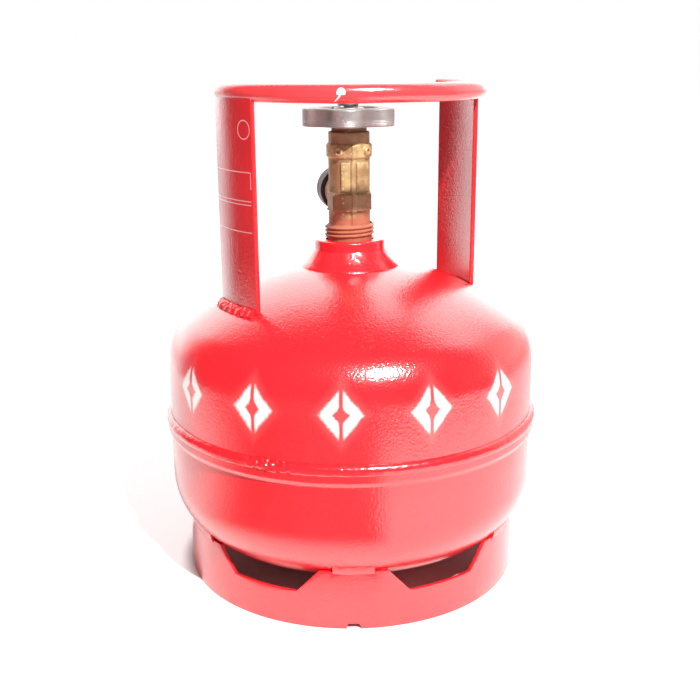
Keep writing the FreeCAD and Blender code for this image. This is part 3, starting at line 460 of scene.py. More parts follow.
def marks_group():
    """Hollow stencilled diamonds with a bridge at top and bottom, sprayed round the shoulder."""
    n, given, result = new_group("Stencilled marks", {"First": -109.4, "Spacing": 25.4, "Last": 5.0,
                                                      "Level": 129.3, "Radius": 111.0}, ["Mask"])
    half_width, half_height = 11.5, 14.2
    axis = n.group("About the axis")
    along = n.over(n.minus(axis["Bearing"], given["First"]), given["Spacing"])
    cell = n.math("MINIMUM", n.math("MAXIMUM", n.math("ROUND", along), 0.0), given["Last"])
    turned = n.times(n.minus(along, cell), given["Spacing"])
    across = n.magnitude(n.times(n.times(turned, pi / 180), given["Radius"]))
    up = n.magnitude(n.minus(axis["Height"], given["Level"]))
    place = n.place()
    shake = n.uneven(place, 140.0, 3.0, 0.22)
    fine = n.uneven(place, 900.0, 2.0, 0.16)
    edge = n.plus(n.plus(n.over(across, half_width), n.over(up, half_height)), n.plus(shake, fine))
    ring = n.band(edge, 0.28, 0.52, 0.84, 1.16)
    bridge = n.between(n.plus(across, n.times(shake, 3.0)), 0.4, 2.0)
    spray = n.times(n.between(edge, 1.7, 0.9), 0.05)
    n.feed(result["Mask"], n.math("MAXIMUM", n.times(ring, bridge), spray, clamp=True))


def plate_group():
    """Fine pressed frame lines of a blank data panel on the outside of one post."""
    n, _, result = new_group("Blank panel lines", {}, ["Mask"])
    turned, height, radius = n.group("About the axis")
    left, right, top, bracket_low = -101.0, -72.5, 248.5, 239.6
    ring_at, ring_level, ring_radius = -75.9, 271.0, 4.9

    def stroke(distance):
        return n.between(n.magnitude(distance), 0.35, 0.21)

    def within(value, low, high):
        return n.times(n.math("GREATER_THAN", value, low), n.math("LESS_THAN", value, high))

    total = n.times(stroke(n.times(n.minus(turned, right), A_DEGREE)), within(height, bracket_low, top))
    for level in (top, 233.0, 231.0, 216.0):
        total = n.math("MAXIMUM", total, n.times(stroke(n.minus(height, level)), within(turned, left, right)))
    away = n.times(n.minus(turned, ring_at), A_DEGREE)
    rise = n.minus(height, ring_level)
    reach = n.math("SQRT", n.plus(n.times(away, away), n.times(rise, rise)))
    total = n.math("MAXIMUM", total, stroke(n.minus(reach, ring_radius)))
    outside = n.math("GREATER_THAN", radius, 78.4)
    n.feed(result["Mask"], n.times(total, outside, clamp=True))


def new_material(name, **constants):
    """A material with a Principled shader whose plain values are set on its own sockets."""
    material = bpy.data.materials.new(name)
    material.use_nodes = True
    shader = material.node_tree.nodes["Principled BSDF"]
    for label, constant in constants.items():
        socket = shader.inputs[label.replace("_", " ")]
        socket.default_value = (*constant, 1) if socket.type == "RGBA" and len(constant) == 3 else constant
    return Nodes(material.node_tree), shader


def dress(n, shader, shown, rough, height, strength, distance, *coats):
    """Feed a shader its colour, its roughness and the bump of a height, on its coat too where it has one."""
    bump = n.add("ShaderNodeBump", {"Strength": strength, "Distance": distance, "Height": height}).outputs[0]
    n.feed(shader.inputs["Base Color"], shown)
    n.feed(shader.inputs["Roughness"], rough)
    for label in ("Normal", *coats):
        n.feed(shader.inputs[label], bump)


# pale pink that the enamel is lifted toward: a painted sheen
SHEEN_PINK = (0.80, 0.50, 0.50)
DUST_ON_RED = (0.9, 0.35, 0.33)
BARE_LINE = (0.93, 0.42, 0.42)
WHITE_PAINT = (0.93, 0.92, 0.90)


def enamel(name, colours, peel=0.9, waves=0.5, painted_sheen=0.0, depth=1.0, grain=0.00021, marks=False, panel=False,
           dab=False):
    """Thick glossy red enamel. A lift toward pale pink is a painted sheen of mirrored white, and a depth under 1 is
    painted shade.
    """
    n, shader = new_material(name, Coat_Weight=1.0, Coat_Roughness=0.15, Coat_IOR=1.9, Specular_IOR_Level=0.2)
    skin = n.group("Enamel skin", Peel=peel, Waves=waves)
    # painted sheen: the red is lifted toward pale pink; painted shade: a depth under 1 darkens it
    red = tuple((c + (d - c) * painted_sheen) * depth for c, d in zip(colours.enamel, SHEEN_PINK))
    deep = tuple(c * 0.86 for c in red)
    shown = n.mix(n.between(skin["Clouds"], 0.35, 0.65), deep, red)
    shown = n.mix(n.times(skin["Specks"], 0.5), shown, DUST_ON_RED)
    rough = n.plus(n.times(skin["Clouds"], 0.12), 0.24)
    height = skin["Height"]
    if marks:
        mask = n.group("Stencilled marks")["Mask"]
        shown = n.mix(mask, shown, tuple(colours.marks))
        rough = n.plus(rough, n.times(mask, 0.25))
        height = n.plus(height, n.times(mask, 0.6))
    if panel:
        mask = n.group("Blank panel lines")["Mask"]
        shown = n.mix(n.times(mask, 0.75), shown, BARE_LINE)
        height = n.minus(height, n.times(mask, 3.0))
    if dab:
        mask = dab_mask(n)
        shown = n.mix(mask, shown, WHITE_PAINT)
        height = n.plus(height, n.times(mask, 4.0))
    dress(n, shader, shown, rough, height, 1.0, grain, "Coat Normal")


def dab_mask(n):
    """A dab of white paint with a short tail on the front of the grip's bar."""
    dab_at, dab_level = -33.4, 290.6
    axis = n.group("About the axis")
    wobble = n.uneven(n.place(), 260.0, 2.0, 0.5)
    across = n.times(n.minus(axis["Bearing"], dab_at), A_DEGREE)
    up = n.minus(axis["Height"], dab_level)
    blob = n.plus(n.math("POWER", n.over(across, 2.4), 2.0), n.math("POWER", n.over(up, 2.6), 2.0))
    blob = n.times(n.between(n.plus(blob, wobble), 1.1, 0.85), n.between(up, -1.3, -0.9))
    bend = n.plus(n.plus(across, 0.4), n.times(n.times(up, up), 0.16))
    tail = n.times(n.between(n.magnitude(bend), 0.75, 0.4), n.band(up, -4.7, -4.2, 0.0, 0.5))
    outer = n.math("GREATER_THAN", axis["Radius"], 74.0)
    return n.times(n.math("MAXIMUM", blob, tail), outer, clamp=True)


PIT = (0.10, 0.045, 0.02)
GRIME = (0.10, 0.04, 0.02)
TARNISH = (0.30, 0.16, 0.08)
# brown of the painted shadows on the valve
SHADOW_BROWN = (0.31, 0.15, 0.10)
RUBBED_BRASS = (0.90, 0.70, 0.38)
OVERSPRAY = (0.40, 0.085, 0.055)
# dark of the painted shade in the handwheel's valleys
VALLEY_SHADE = (0.16, 0.10, 0.10)


def brass(name, colours, paint_level=None, dark=0.0, rub_up=0.7):
    """Forged brass: pitted, brown in its hollows, bright on its edges, red with paint at its foot."""
    n, shader = new_material(name)
    place = n.place()
    rub = n.group("Edge rub", Reach=0.515)
    # painted shade: dark darkens the whole brass, making a copy for parts that sit in shadow
    light = 1.0 - 0.85 * dark
    bright = tuple(c * light for c in colours.brass)
    brown = (bright[0] * 0.55, bright[1] * 0.42, bright[2] * 0.40)
    stain = n.between(n.noise(place, 120.0, 5.0, 0.6), 0.38, 0.62)
    shown = n.mix(n.times(stain, 0.75 - dark * 0.5), brown, bright)
    pits = n.noise(place, 1500.0, 3.0, 0.6)
    shown = n.mix(n.times(n.between(pits, 0.40, 0.30), 0.65), shown, PIT)
    # painted shadow: the lower band, under the grip bar's shadow, and all above the head's ring, under the
    # handwheel's shadow, are darkened brown; the faces between them are tarnished
    axis = n.group("About the axis")
    level, radius = axis["Height"], axis["Radius"]
    shadowed_bands = n.math("MAXIMUM", n.band(level, 218.0, 221.0, 230.5, 232.0), n.between(level, 259.0, 260.5))
    low_faces = n.times(n.band(level, 231.0, 232.0, 259.0, 260.0), n.between(radius, 12.75, 12.35))
    shown = n.mix(n.times(low_faces, 0.6), shown, TARNISH)
    shown = n.mix(n.times(shadowed_bands, 0.65), shown, SHADOW_BROWN)
    shown = n.mix(n.times(rub["Hollow"], 0.75), shown, GRIME)
    shown = n.mix(n.times(rub["Mask"], rub_up * light), shown, RUBBED_BRASS)
    metallic = n.minus(0.40, n.times(rub["Hollow"], 0.3))
    rough = n.plus(0.42 + dark * 0.1, n.times(pits, 0.25))
    height = n.plus(pits, n.times(n.noise(place, 500.0, 2.0), 1.2))
    if paint_level:
        ragged = n.plus(level, n.uneven(place, 220.0, 3.0, 7.0))
        mask = n.between(ragged, paint_level + 2.2, paint_level - 2.2)
        shown = n.mix(n.times(mask, 0.85), shown, OVERSPRAY)
        metallic = n.times(metallic, n.minus(1.0, n.times(mask, 0.9)))
    n.feed(shader.inputs["Metallic"], metallic)
    dress(n, shader, shown, rough, height, 0.6, 0.00022)


def metal(name, tint, roughness, grain, depth, metallic=1.0, lines=None):
    """Plain or cast metal with a grain, dull in its hollows and rubbed on its edges."""
    n, shader = new_material(name, Metallic=metallic)
    place = n.place()
    rub = n.group("Edge rub", Reach=0.52)
    clouds = n.noise(place, 90.0, 4.0)
    shown = n.mix(n.between(clouds, 0.35, 0.65), tuple(c * 0.80 for c in tint), tuple(tint))
    shown = n.mix(n.times(rub["Hollow"], 0.7), shown, tuple(c * 0.25 for c in tint))
    shown = n.mix(n.times(rub["Mask"], 0.6), shown, tuple(min(c * 1.55, 0.95) for c in tint))
    rough = n.plus(roughness - 0.1, n.times(clouds, 0.2))
    height = n.noise(place, grain, 3.0)
    if lines:
        # painted shade darkens the wheel in a ring at the valleys between its lobes, inward toward its hub, and its
        # rim has fine turned lines
        low, high = lines
        axis = n.group("About the axis")
        level, radius = axis["Height"], axis["Radius"]
        valley = n.band(radius, 18.5, 19.5, 23.0, 26.0)
        shown = n.mix(n.times(valley, 0.45), shown, VALLEY_SHADE)
        wave = n.math("SINE", n.times(level, 2 * pi / 0.9))
        height = n.plus(height, n.times(n.times(wave, n.band(level, low, low + 0.4, high - 0.4, high)), 0.8))
    dress(n, shader, shown, rough, height, 0.5, depth)


def moulding(name, tint, roughness):
    """Moulded plastic or rubber with a fine grain and a little dust."""
    n, shader = new_material(name)
    place = n.place()
    dust = n.between(n.noise(place, 260.0, 4.0), 0.5, 0.8)
    shown = n.mix(n.times(dust, 0.25), tuple(tint), tuple(min(c * 4 + 0.03, 1) for c in tint))
    rough = n.plus(roughness, n.times(dust, 0.15))
    dress(n, shader, shown, rough, n.noise(place, 900.0, 2.0), 0.4, 0.0001)


def finish(name):
    return bpy.data.materials[name]


class CYLINDER_OT_finishes(bpy.types.Operator):
    """Make the node groups and materials"""
    bl_idname = "cylinder.finishes"
    bl_label = "Finishes"

    def execute(self, context):
        colours = context.scene.cylinder_colours
        about_axis_group()
        enamel_skin_group()
        wear_group()
        marks_group()
        plate_group()
        enamel("shell_enamel", colours, marks=True)
        enamel("plain_enamel", colours)
        # painted shade and sheen: the posts' enamels are darkened, as the posts turn from the lamp, and lifted a
        # little toward pink
        enamel("post_enamel", colours, painted_sheen=0.03, depth=0.76, grain=0.0003)
        enamel("panel_enamel", colours, painted_sheen=0.02, depth=0.78, grain=0.00025, panel=True)
        # painted sheen: the grip's enamel is lifted toward pink, as the bar mirrors white
        enamel("grip_enamel", colours, painted_sheen=0.08, dab=True)
        enamel("bead_enamel", colours, peel=1.0, waves=1.0)
        brass("forged_brass", colours, paint_level=218.0)
        brass("painted_thread", colours, paint_level=213.0, rub_up=0.1)
        # painted shade: a darkened copy of the brass, for the gland nut under the handwheel
        brass("dark_brass", colours, dark=1.0)
        metal("cast_wheel", colours.aluminium, 0.46, 1100.0, 0.00032, metallic=0.6, lines=(269.4, 273.2))
        metal("plain_steel", colours.steel, 0.35, 2000.0, 0.00005)
        moulding("cap_plastic", colours.cap, 0.42)
        moulding("seal_rubber", (0.05, 0.048, 0.045), 0.6)
        return {"FINISHED"}


# ---------------------------------------------------------------- pieces


class CYLINDER_OT_shell(bpy.types.Operator):
    """Upper and lower dished ends, the lower one with its bell"""
    bl_idname = "cylinder.shell"
    bl_label = "Dished ends"

    def execute(self, context):
        sizes = context.scene.cylinder_sizes
        radius = sizes.radius / MM
        wall = sizes.wall / MM
        self.upper(radius, wall)
        self.lower(radius, wall)
        return {"FINISHED"}

    def upper(self, radius, wall):
        knuckle, tangent, hole, edge = 32.0, 132.5, 19.0, 93.0
        span = radius - knuckle
        centre = tangent - sqrt((DOME - knuckle) ** 2 - span ** 2)
        lean = degrees(acos(span / (DOME - knuckle)))
        outline = Outline("upper_end", (hole, centre + sqrt(DOME ** 2 - hole ** 2)))
        outline.arc(0, centre, lean - degrees(acos(hole / DOME)), 24)
        outline.arc(span, tangent, -lean, 18)
        outline.path([(radius, edge), (radius - wall, edge), (radius - wall, tangent)])
        outline.arc(span, tangent, lean, 12)
        outline.arc(0, centre, degrees(acos(hole / (DOME - wall))) - lean, 16)
        enamelled(outline.close().turn(), "shell_enamel", "upper_dish")

    def lower(self, radius, wall):
        crown, knuckle, tangent, step, rim = 210.0, 40.0, 62.5, 89.0, 98.9
        span = radius - knuckle
        centre = tangent + sqrt((crown - knuckle) ** 2 - span ** 2)
        lean = degrees(acos(span / (crown - knuckle)))
        bell = radius + 2.2
        outline = Outline("lower_end", (0, centre - crown))
        outline.arc(0, centre, 90 - lean, 20)
        outline.arc(span, tangent, lean, 18)
        outline.path([(radius, step - 1.2), (radius + 0.35, step + 0.6, 3.0, -1), (bell - 0.35, step + 2.6),
                      (bell, step + 4.4, 3.0, 1), (bell, rim), (bell - 2.0, rim), (bell - 2.0, step + 3.2),
                      (radius - wall, step), (radius - wall, tangent)])
        outline.arc(span, tangent, -lean, 12)
        outline.arc(0, centre, lean - 90, 12)
        enamelled(outline.close().turn(), "plain_enamel", "lower_dish")


class CYLINDER_OT_seam(bpy.types.Operator):
    """The weld bead where the two ends meet, with the lump where it starts and stops"""
    bl_idname = "cylinder.seam"
    bl_label = "Girth bead"

    def execute(self, context):
        on_shell, on_bell, low, rim, high = 111.05, 113.25, 96.2, 98.95, 102.0
        lump_at, reach, fade = -54.0, 7.5, 2.5
        piece = turned("girth_bead", [(on_bell, low), (on_shell, high, 3.9, 1, 12), (on_shell, rim), (on_bell, rim)],
                       1080)
        roughen(piece, 0.35 * MM, 5 * MM)
        lump = piece.vertex_groups.new(name="lump")
        for vertex in piece.data.vertices:
            away = abs(degrees(atan2(vertex.co.x, -vertex.co.y)) - lump_at)
            if away < reach:
                lump.add([vertex.index], min((reach - away) / fade, 1.0), "REPLACE")
        roughen(piece, 3.6 * MM, 2.8 * MM, group="lump")
        piece.vertex_groups.clear()
        enamelled(piece, "bead_enamel", "girth_weld", 60)
        return {"FINISHED"}


class CYLINDER_OT_neck(bpy.types.Operator):
    """The neck boss and the bead around it"""
    bl_idname = "cylinder.neck"
    bl_label = "Neck"

    def execute(self, context):
        low, top = NECK[0].z / MM, NECK[1].z / MM
        boss = turned("neck_ring", [(13.2, low), (18.7, low), (18.7, 188.8), (21.0, 188.6), (21.0, top - 1.4),
                                    (19.6, top, 1.4, 1), (15.6, top), (14.4, top - 0.9)], 144)
        enamelled(boss, "plain_enamel", "neck_boss")

        root = 21.0 + BEAD_GAP
        piece = turned("neck_bead", [(root, 188.55), (29.4, 187.28, DOME + BEAD_GAP, -1), (29.0, 188.0),
                                     (root, 197.8, 45.0, -1, 14)], 288)
        roughen(piece, 0.5 * MM, 6 * MM)
        enamelled(piece, "bead_enamel", "neck_weld", 60)
        return {"FINISHED"}


class CYLINDER_OT_foot(bpy.types.Operator):
    """The vented foot ring and the beads that hold it"""
    bl_idname = "cylinder.foot"
    bl_label = "Foot"

    def execute(self, context):
        sizes = context.scene.cylinder_sizes
        enamelled(self.ring(sizes), "plain_enamel", "foot_ring")
        enamelled(self.beads(sizes), "bead_enamel", "foot_welds", 60)
        return {"FINISHED"}

    def ring(self, sizes):
        radius = sizes.foot_radius / MM
        top = FOOT[1].z / MM
        sill = top - sizes.vent_depth / MM
        half = sizes.vent_sill / MM
        slope = atan2(top - sill, sizes.vent_top / MM - half)
        count = sizes.vents
        corner = 2.5        # radius of a vent's lower corners
        outline = Outline("foot_band", (radius, 0), out=bearing(180 / count))
        outline.line(radius, top)
        bpy.ops.mesh.select_all(action="SELECT")
        bpy.ops.mesh.spin(steps=60, angle=2 * pi / count, center=(0, 0, 0), axis=(0, 0, 1))
        piece = outline.piece
        planes = []
        for side in (-1, 1):
            tip = Vector((side * (half - corner * tan(slope / 2)), 0, sill + corner))
            for part in (1.0, 0.75, 0.5, 0.25):
                lean = slope * part
                way = Vector((-side * sin(lean), 0, cos(lean)))
                planes.append(((tip - way * corner) * MM, way))
        planes.append((Vector((0, 0, sill)) * MM, Vector((0, 0, 1))))

        def inside(place):
            return place.y < -0.06 and all((place - spot).dot(way) > 0.0 for spot, way in planes)

        for spot, way in planes:
            bpy.ops.mesh.select_all(action="SELECT")
            bpy.ops.mesh.bisect(plane_co=spot, plane_no=way, threshold=1e-7)
        pick(piece, inside, "polygons")
        bpy.ops.mesh.delete(type="FACE")
        bpy.ops.mesh.select_all(action="SELECT")
        bpy.ops.mesh.spin(steps=count - 1, angle=2 * pi * (count - 1) / count, dupli=True, center=(0, 0, 0),
                          axis=(0, 0, 1))
        merge()
        face_out()
        modify(piece, "SOLIDIFY", thickness=sizes.foot_wall, offset=-1, use_even_offset=True)
        self.drain(piece, radius)
        soften(piece, 0.45 * MM, segments=2, angle=40)
        return piece

    def drain(self, piece, radius):
        """Cut the drain notch at the foot of the front tab."""
        way = bearing(-30)
        side = way.cross(Vector((0, 0, 1)))
        notch = Outline("drain_cutter", (-3.9, -4.0), origin=way * (radius - 8) * MM, out=side)
        notch.path([(3.9, -4.0), (3.9, 1.2), (1.9, 3.2, 2.0, 1), (-1.9, 3.2), (-3.9, 1.2, 2.0, 1)]).close()
        cutter = notch.raise_up(16 if notch.out.cross(notch.along).dot(way) > 0 else -16)
        carve(piece, cutter)

    def beads(self, sizes):
        outer = sizes.foot_radius / MM + BEAD_GAP
        low = FOOT[1].z / MM
        span, tangent, seat = 71.0, 62.5, 40.0 + BEAD_GAP

        def shell(r):
            return tangent - sqrt(seat ** 2 - (r - span) ** 2)

        first = partial("foot_beads",
                        [(outer, low - 1.4), (outer + 1.45, shell(outer + 1.45), 9.0, 1, 8),
                         (outer - 1.0, shell(outer - 1.0), seat, -1, 6),
                         (outer - 1.0, low + BEAD_GAP), (outer, low + BEAD_GAP)], 90, 13.0, 60)
        piece = join("foot_beads", [first] + [twin(first, 60 * k) for k in range(1, 6)])
        roughen(piece, 0.5 * MM, 3 * MM)
        return piece


class CYLINDER_OT_grip(bpy.types.Operator):
    """The open ring of the grip, its two posts and their beads"""
    bl_idname = "cylinder.grip"
    bl_label = "Grip"

    def execute(self, context):
        sizes = context.scene.cylinder_sizes
        ring = sizes.grip_radius / MM
        height = sizes.grip_height / MM
        rod = sizes.rod / MM
        outer = sizes.post_radius / MM
        inner = outer - sizes.post_wall / MM
        self.bar(ring, height, rod)
        self.posts(ring, height, rod, inner, outer)
        self.beads(ring, height, rod, inner, outer)
        return {"FINISHED"}

    def bar(self, ring, height, rod):
        outline = Outline("grip_bar", (ring + rod, height), out=bearing(100))
        outline.arc(ring, height, 360, 36)
        merge()
        piece = outline.turn(200, 200)
        soften(piece, 0.6 * MM, segments=3, angle=60)
        enamelled(piece, "grip_enamel", "grip_ring")

    def posts(self, ring, height, rod, inner, outer):
        seat = rod + BEAD_GAP
        top_in = height - sqrt(seat ** 2 - (inner - ring) ** 2)
        top_out = height - sqrt(seat ** 2 - (outer - ring) ** 2)
        # the posts take the darkened enamels: painted shade
        for name, node, way, skin in (("post_plain", "plain_post", POST_AT, "post_enamel"),
                                      ("post_panel", "plate_post", -POST_AT, "panel_enamel")):
            piece = partial(name, [(inner, shell_top(inner)), (outer, shell_top(outer)), (outer, top_out),
                                   (inner, top_in)], way, 30.5, 40)
            soften(piece, 0.9 * MM, segments=4, angle=50)
            enamelled(piece, skin, node)

    def beads(self, ring, height, rod, inner, outer):
        face = outer + BEAD_GAP
        back = inner - BEAD_GAP
        throat, leg = shell_top(face) + 3.2, 3.4
        section = [(face, throat), (face, shell_top(face)), (face + leg, shell_top(face + leg)),
                   (face, throat, 5.0, 1, 10)]
        feet = [partial("post_beads", section, way, angle, round(angle * 4))
                for way, angle in ((POST_AT, 16.0), (-POST_AT, 28.0))]
        piece = join("post_beads", feet)
        roughen(piece, 2.2 * MM, 1.9 * MM)
        enamelled(piece, "bead_enamel", "post_welds", 60)

        seat = rod + BEAD_GAP
        low = height - sqrt(seat ** 2 - (back - ring) ** 2)
        under = ring - 1.0
        section = [(back, low - 3.0), (back, low),
                   (under, height - sqrt(seat ** 2 - (under - ring) ** 2), seat, -1, 6)]
        tops = [partial("grip_beads", section, way, 24.0, 80) for way in (POST_AT, -POST_AT)]
        piece = join("grip_beads", tops)
        roughen(piece, 0.8 * MM, 2.6 * MM)
        enamelled(piece, "bead_enamel", "grip_welds", 60)


def shell_top(r):
    """Height of the upper end's outside, plus the seating gap."""
    return DOME_CENTRE + sqrt(DOME ** 2 - r ** 2) + BEAD_GAP


def outlet_way():
    return bearing(180 - OUTLET_TURN)


def lying(name, points, steps, level, along):
    """A wire turned about a level line that leaves the valve's axis at a height."""
    return turned(name, points, steps, origin=(0, 0, level * MM), out=(0, 0, 1), along=along)


def in_plan(name, start, level):
    """An outline in the level plane at a height, with out toward +X and along toward +Y."""
    return Outline(name, start, origin=(0, 0, level * MM), out=(1, 0, 0), along=(0, 1, 0))


def lay_along_outlet(piece, distance):
    """Lay a piece made about Z along the outlet, its foot at a distance from the valve's axis."""
    turn = Vector((0, 0, 1)).rotation_difference(outlet_way()).to_matrix()
    settle(piece, turn, outlet_way() * distance * MM + Vector((0, 0, OUTLET_LEVEL * MM)))


class CYLINDER_OT_valve(bpy.types.Operator):
    """The forged valve body with its parting ridge, pads and bosses, and its threads"""
    bl_idname = "cylinder.valve"
    bl_label = "Valve body"

    def execute(self, context):
        hand_over(self.forging(), "tank", "brass", finish("forged_brass"), "valve_body")
        ridge = thread("neck_thread", 13.5, 14.75, 2.3, 3)
        settle(ridge, Matrix.Identity(3), (0, 0, 203.7 * MM))
        shade(ridge, 50)
        hand_over(ridge, "tank", "brass", finish("painted_thread"))
        ridge = thread("outlet_thread", 10.1, 10.88, 1.814, 5, hand=-1)
        lay_along_outlet(ridge, 20.7)
        shade(ridge, 50)
        # painted shade: the outlet thread takes the darkened copy of the brass
        hand_over(ridge, "tank", "brass", finish("dark_brass"))
        return {"FINISHED"}

    def forging(self):
        inlet, taper_end, band, waist, ring, head, top = 185.6, 211.53, 220.9, 230.9, 251.3, 259.4, 266.2
        piece = turned("valve_forging", [
            (0, inlet), (13.0, inlet), (13.5, taper_end), (12.3, taper_end + 0.6), (12.3, band - 0.5), (13.9, band),
            (14.2, band + 0.6), (14.2, waist - 0.8), (13.6, waist - 0.17), (12.2, waist), (12.2, ring),
            (12.8, ring + 0.2), (13.4, ring + 0.8), (13.4, head - 0.8), (12.8, head - 0.17), (12.1, head),
            (12.1, top - 0.6), (11.5, top), (0, top)], 96)
        for side in (1, -1):
            carve(piece, self.flat_cutter(side))
        for tool in self.additions():
            carve(piece, tool, "UNION")
        for tool in self.bores():
            carve(piece, tool)
        cast(piece, CAST_GRAIN, 1)
        roughen(piece, 0.2 * MM, 1.4 * MM)
        shade(piece, 60)
        return piece

    def flat_cutter(self, side):
        """A block that takes off one spanner flat of the lower band."""
        flat, far, low, high, depth = 11.7 * side, 18.0 * side, 220.83, 230.7, 40
        across = bearing(90 - OUTLET_TURN)
        outline = Outline("flat_cutter", (flat, low), out=across)
        outline.path([(far, low), (far, high), (flat, high)]).close()
        cutter = outline.raise_up(depth)
        settle(cutter, Matrix.Identity(3), across.cross(Vector((0, 0, 1))) * -depth / 2 * MM)
        return cutter

    def additions(self):
        """Branch, pads, parting ridge and bosses."""
        front = -OUTLET_TURN
        tools = [lying("branch", [
            (0, 0), (11.4, 0), (11.4, 18.0), (11.0, 18.4), (9.7, 18.4), (9.7, 20.2), (10.2, 20.6), (10.2, 30.5),
            (9.7, 31.0), (0, 31.0)], 72, OUTLET_LEVEL, outlet_way())]
        for angle, wide in ((-21.5, 24.0), (28.0, 38.0)):
            tools.append(partial("pad", [(9.5, 232.6), (13.25, 232.6), (13.25, 248.8), (9.5, 248.8)],
                                 front + angle, wide, 20))
        tools.append(partial("ridge", [
            (9.4, 212.2), (12.9, 212.2), (12.9, 220.3), (14.3, 220.3), (14.8, 220.9), (14.8, 230.8), (14.2, 231.3),
            (12.8, 231.3), (12.8, 250.9), (14.0, 251.4), (14.0, 258.6), (9.4, 258.6)], front, 9.0, 6))
        for angle in (-37.5, 37.5):
            tools.append(lying("boss", [(0, 9.5), (2.7, 9.5), (2.7, 14.6), (2.3, 15.0), (1.3, 15.0), (1.0, 12.8),
                                        (0, 12.8)], 24, 255.3, bearing(front + angle)))
        return tools

    def bores(self):
        """Inlet, chamber and gland bore, and the outlet passage, a little wider than what runs in them."""
        below, seat, well, chamber_top, gland, above = 183.0, 219.0, 217.8, 233.4, 250.6, 268.0
        inlet = turned("inlet_bore", [
            (0, below), (3.5, below), (3.5, seat), (4.8, seat), (4.8, well), (7.7, well), (7.7, chamber_top),
            (8.5, chamber_top), (8.5, gland), (9.9, gland), (9.9, above), (0, above)], 64)
        passage = lying("outlet_bore", [(0, 3.5), (3.0, 3.5), (3.0, 24.0), (5.5, 24.0), (5.5, 33.0), (0, 33.0)], 48,
                        OUTLET_LEVEL, outlet_way())
        return [inlet, passage]


class CYLINDER_OT_handwheel(bpy.types.Operator):
    """The five-lobed cast handwheel"""
    bl_idname = "cylinder.handwheel"
    bl_label = "Handwheel"

    lobes = 5
    lobe_turn = -33.5

    def execute(self, context):
        low, high = WHEEL[0].z / MM, WHEEL[1].z / MM
        piece = self.blank(low, high - low)
        soften(piece, 0.8 * MM, segments=4, angle=60)
        for tool in self.hollows(low, high):
            carve(piece, tool)
        cast(piece, CAST_GRAIN, 2)
        roughen(piece, 0.2 * MM, 1.6 * MM)
        shade(piece, 60)
        hand_over(piece, "spindle_set", "cast_aluminium", finish("cast_wheel"), "handwheel")
        return {"FINISHED"}

    def blank(self, low, height):
        reach, lobe, valley = 18.0, 9.55, 22.35
        half = pi / self.lobes
        gap = lobe - valley
        far = (reach ** 2 - gap ** 2) / (2 * (gap + reach * cos(half)))
        swing = degrees(atan2(far * sin(half), far * cos(half) - reach))
        dip = 2 * (swing - degrees(half))
        # out points to +X here and along to +Y, and a lobe's place is an angle from out
        first = self.lobe_turn - 90

        def spot(distance, angle):
            return distance * cos(radians(angle)), distance * sin(radians(angle))

        centre = spot(reach, first)
        start = spot(lobe, first - swing)
        outline = in_plan("wheel", (centre[0] + start[0], centre[1] + start[1]), low)
        for k in range(self.lobes):
            turn = first + 360 / self.lobes * k
            outline.arc(*spot(reach, turn), 2 * swing, 22)
            outline.arc(*spot(far, turn + 180 / self.lobes), -dip, 10)
        merge(1e-5)
        return outline.raise_up(height)

    def hollows(self, low, high):
        """A ring-shaped hollow in the top and one in the underside, and the square hole."""
        deck, ceiling, half, spare = high - 3.2, low + 3.6, 3.65, 2
        over = turned("hollow_top", [(9.0, deck), (17.2, deck), (18.2, high + spare), (8.4, high + spare)], 72)
        under = turned("hollow_under", [(9.0, ceiling), (8.2, low - spare), (18.6, low - spare), (17.6, ceiling)],
                       72)
        square = in_plan("square_hole", (-half, -half), low - spare)
        square.path([(half, -half), (half, half), (-half, half)]).close()
        return [over, under, square.raise_up(high - low + 2 * spare)]


class CYLINDER_OT_spindle_top(bpy.types.Operator):
    """The chamfered nut on top of the spindle and the thread that it is screwed onto"""
    bl_idname = "cylinder.spindle_top"
    bl_label = "Top nut and stud"

    def execute(self, context):
        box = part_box("top_nut")
        low, high = box[0].z / MM, box[1].z / MM
        corner = 5.0 / cos(pi / 6)
        blank = in_plan("nut", (corner, 0), low)
        for k in range(1, 6):
            blank.line(corner * cos(k * pi / 3), corner * sin(k * pi / 3))
        blank.close()
        nut = blank.raise_up(high - low)
        crown = turned("crown", [(3.2, low - 1), (4.9, low - 1), (4.9, low), (5.9, low + 0.55), (5.9, high - 0.55),
                                 (4.9, high), (4.9, high + 1), (3.2, high + 1)], 48)
        carve(nut, crown, "INTERSECT")
        soften(nut, 0.12 * MM, segments=2, angle=25)
        shade(nut, 30)
        hand_over(nut, "spindle_set", "steel", finish("plain_steel"), "top_nut")

        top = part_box("spindle")[1].z / MM
        ridge = thread("stud_thread", 2.6, 3.05, 0.8, 4, steps=40)
        settle(ridge, Matrix.Identity(3), (0, 0, (top - 4.0) * MM))
        shade(ridge, 50)
        hand_over(ridge, "spindle_set", "steel", finish("plain_steel"))
        return {"FINISHED"}


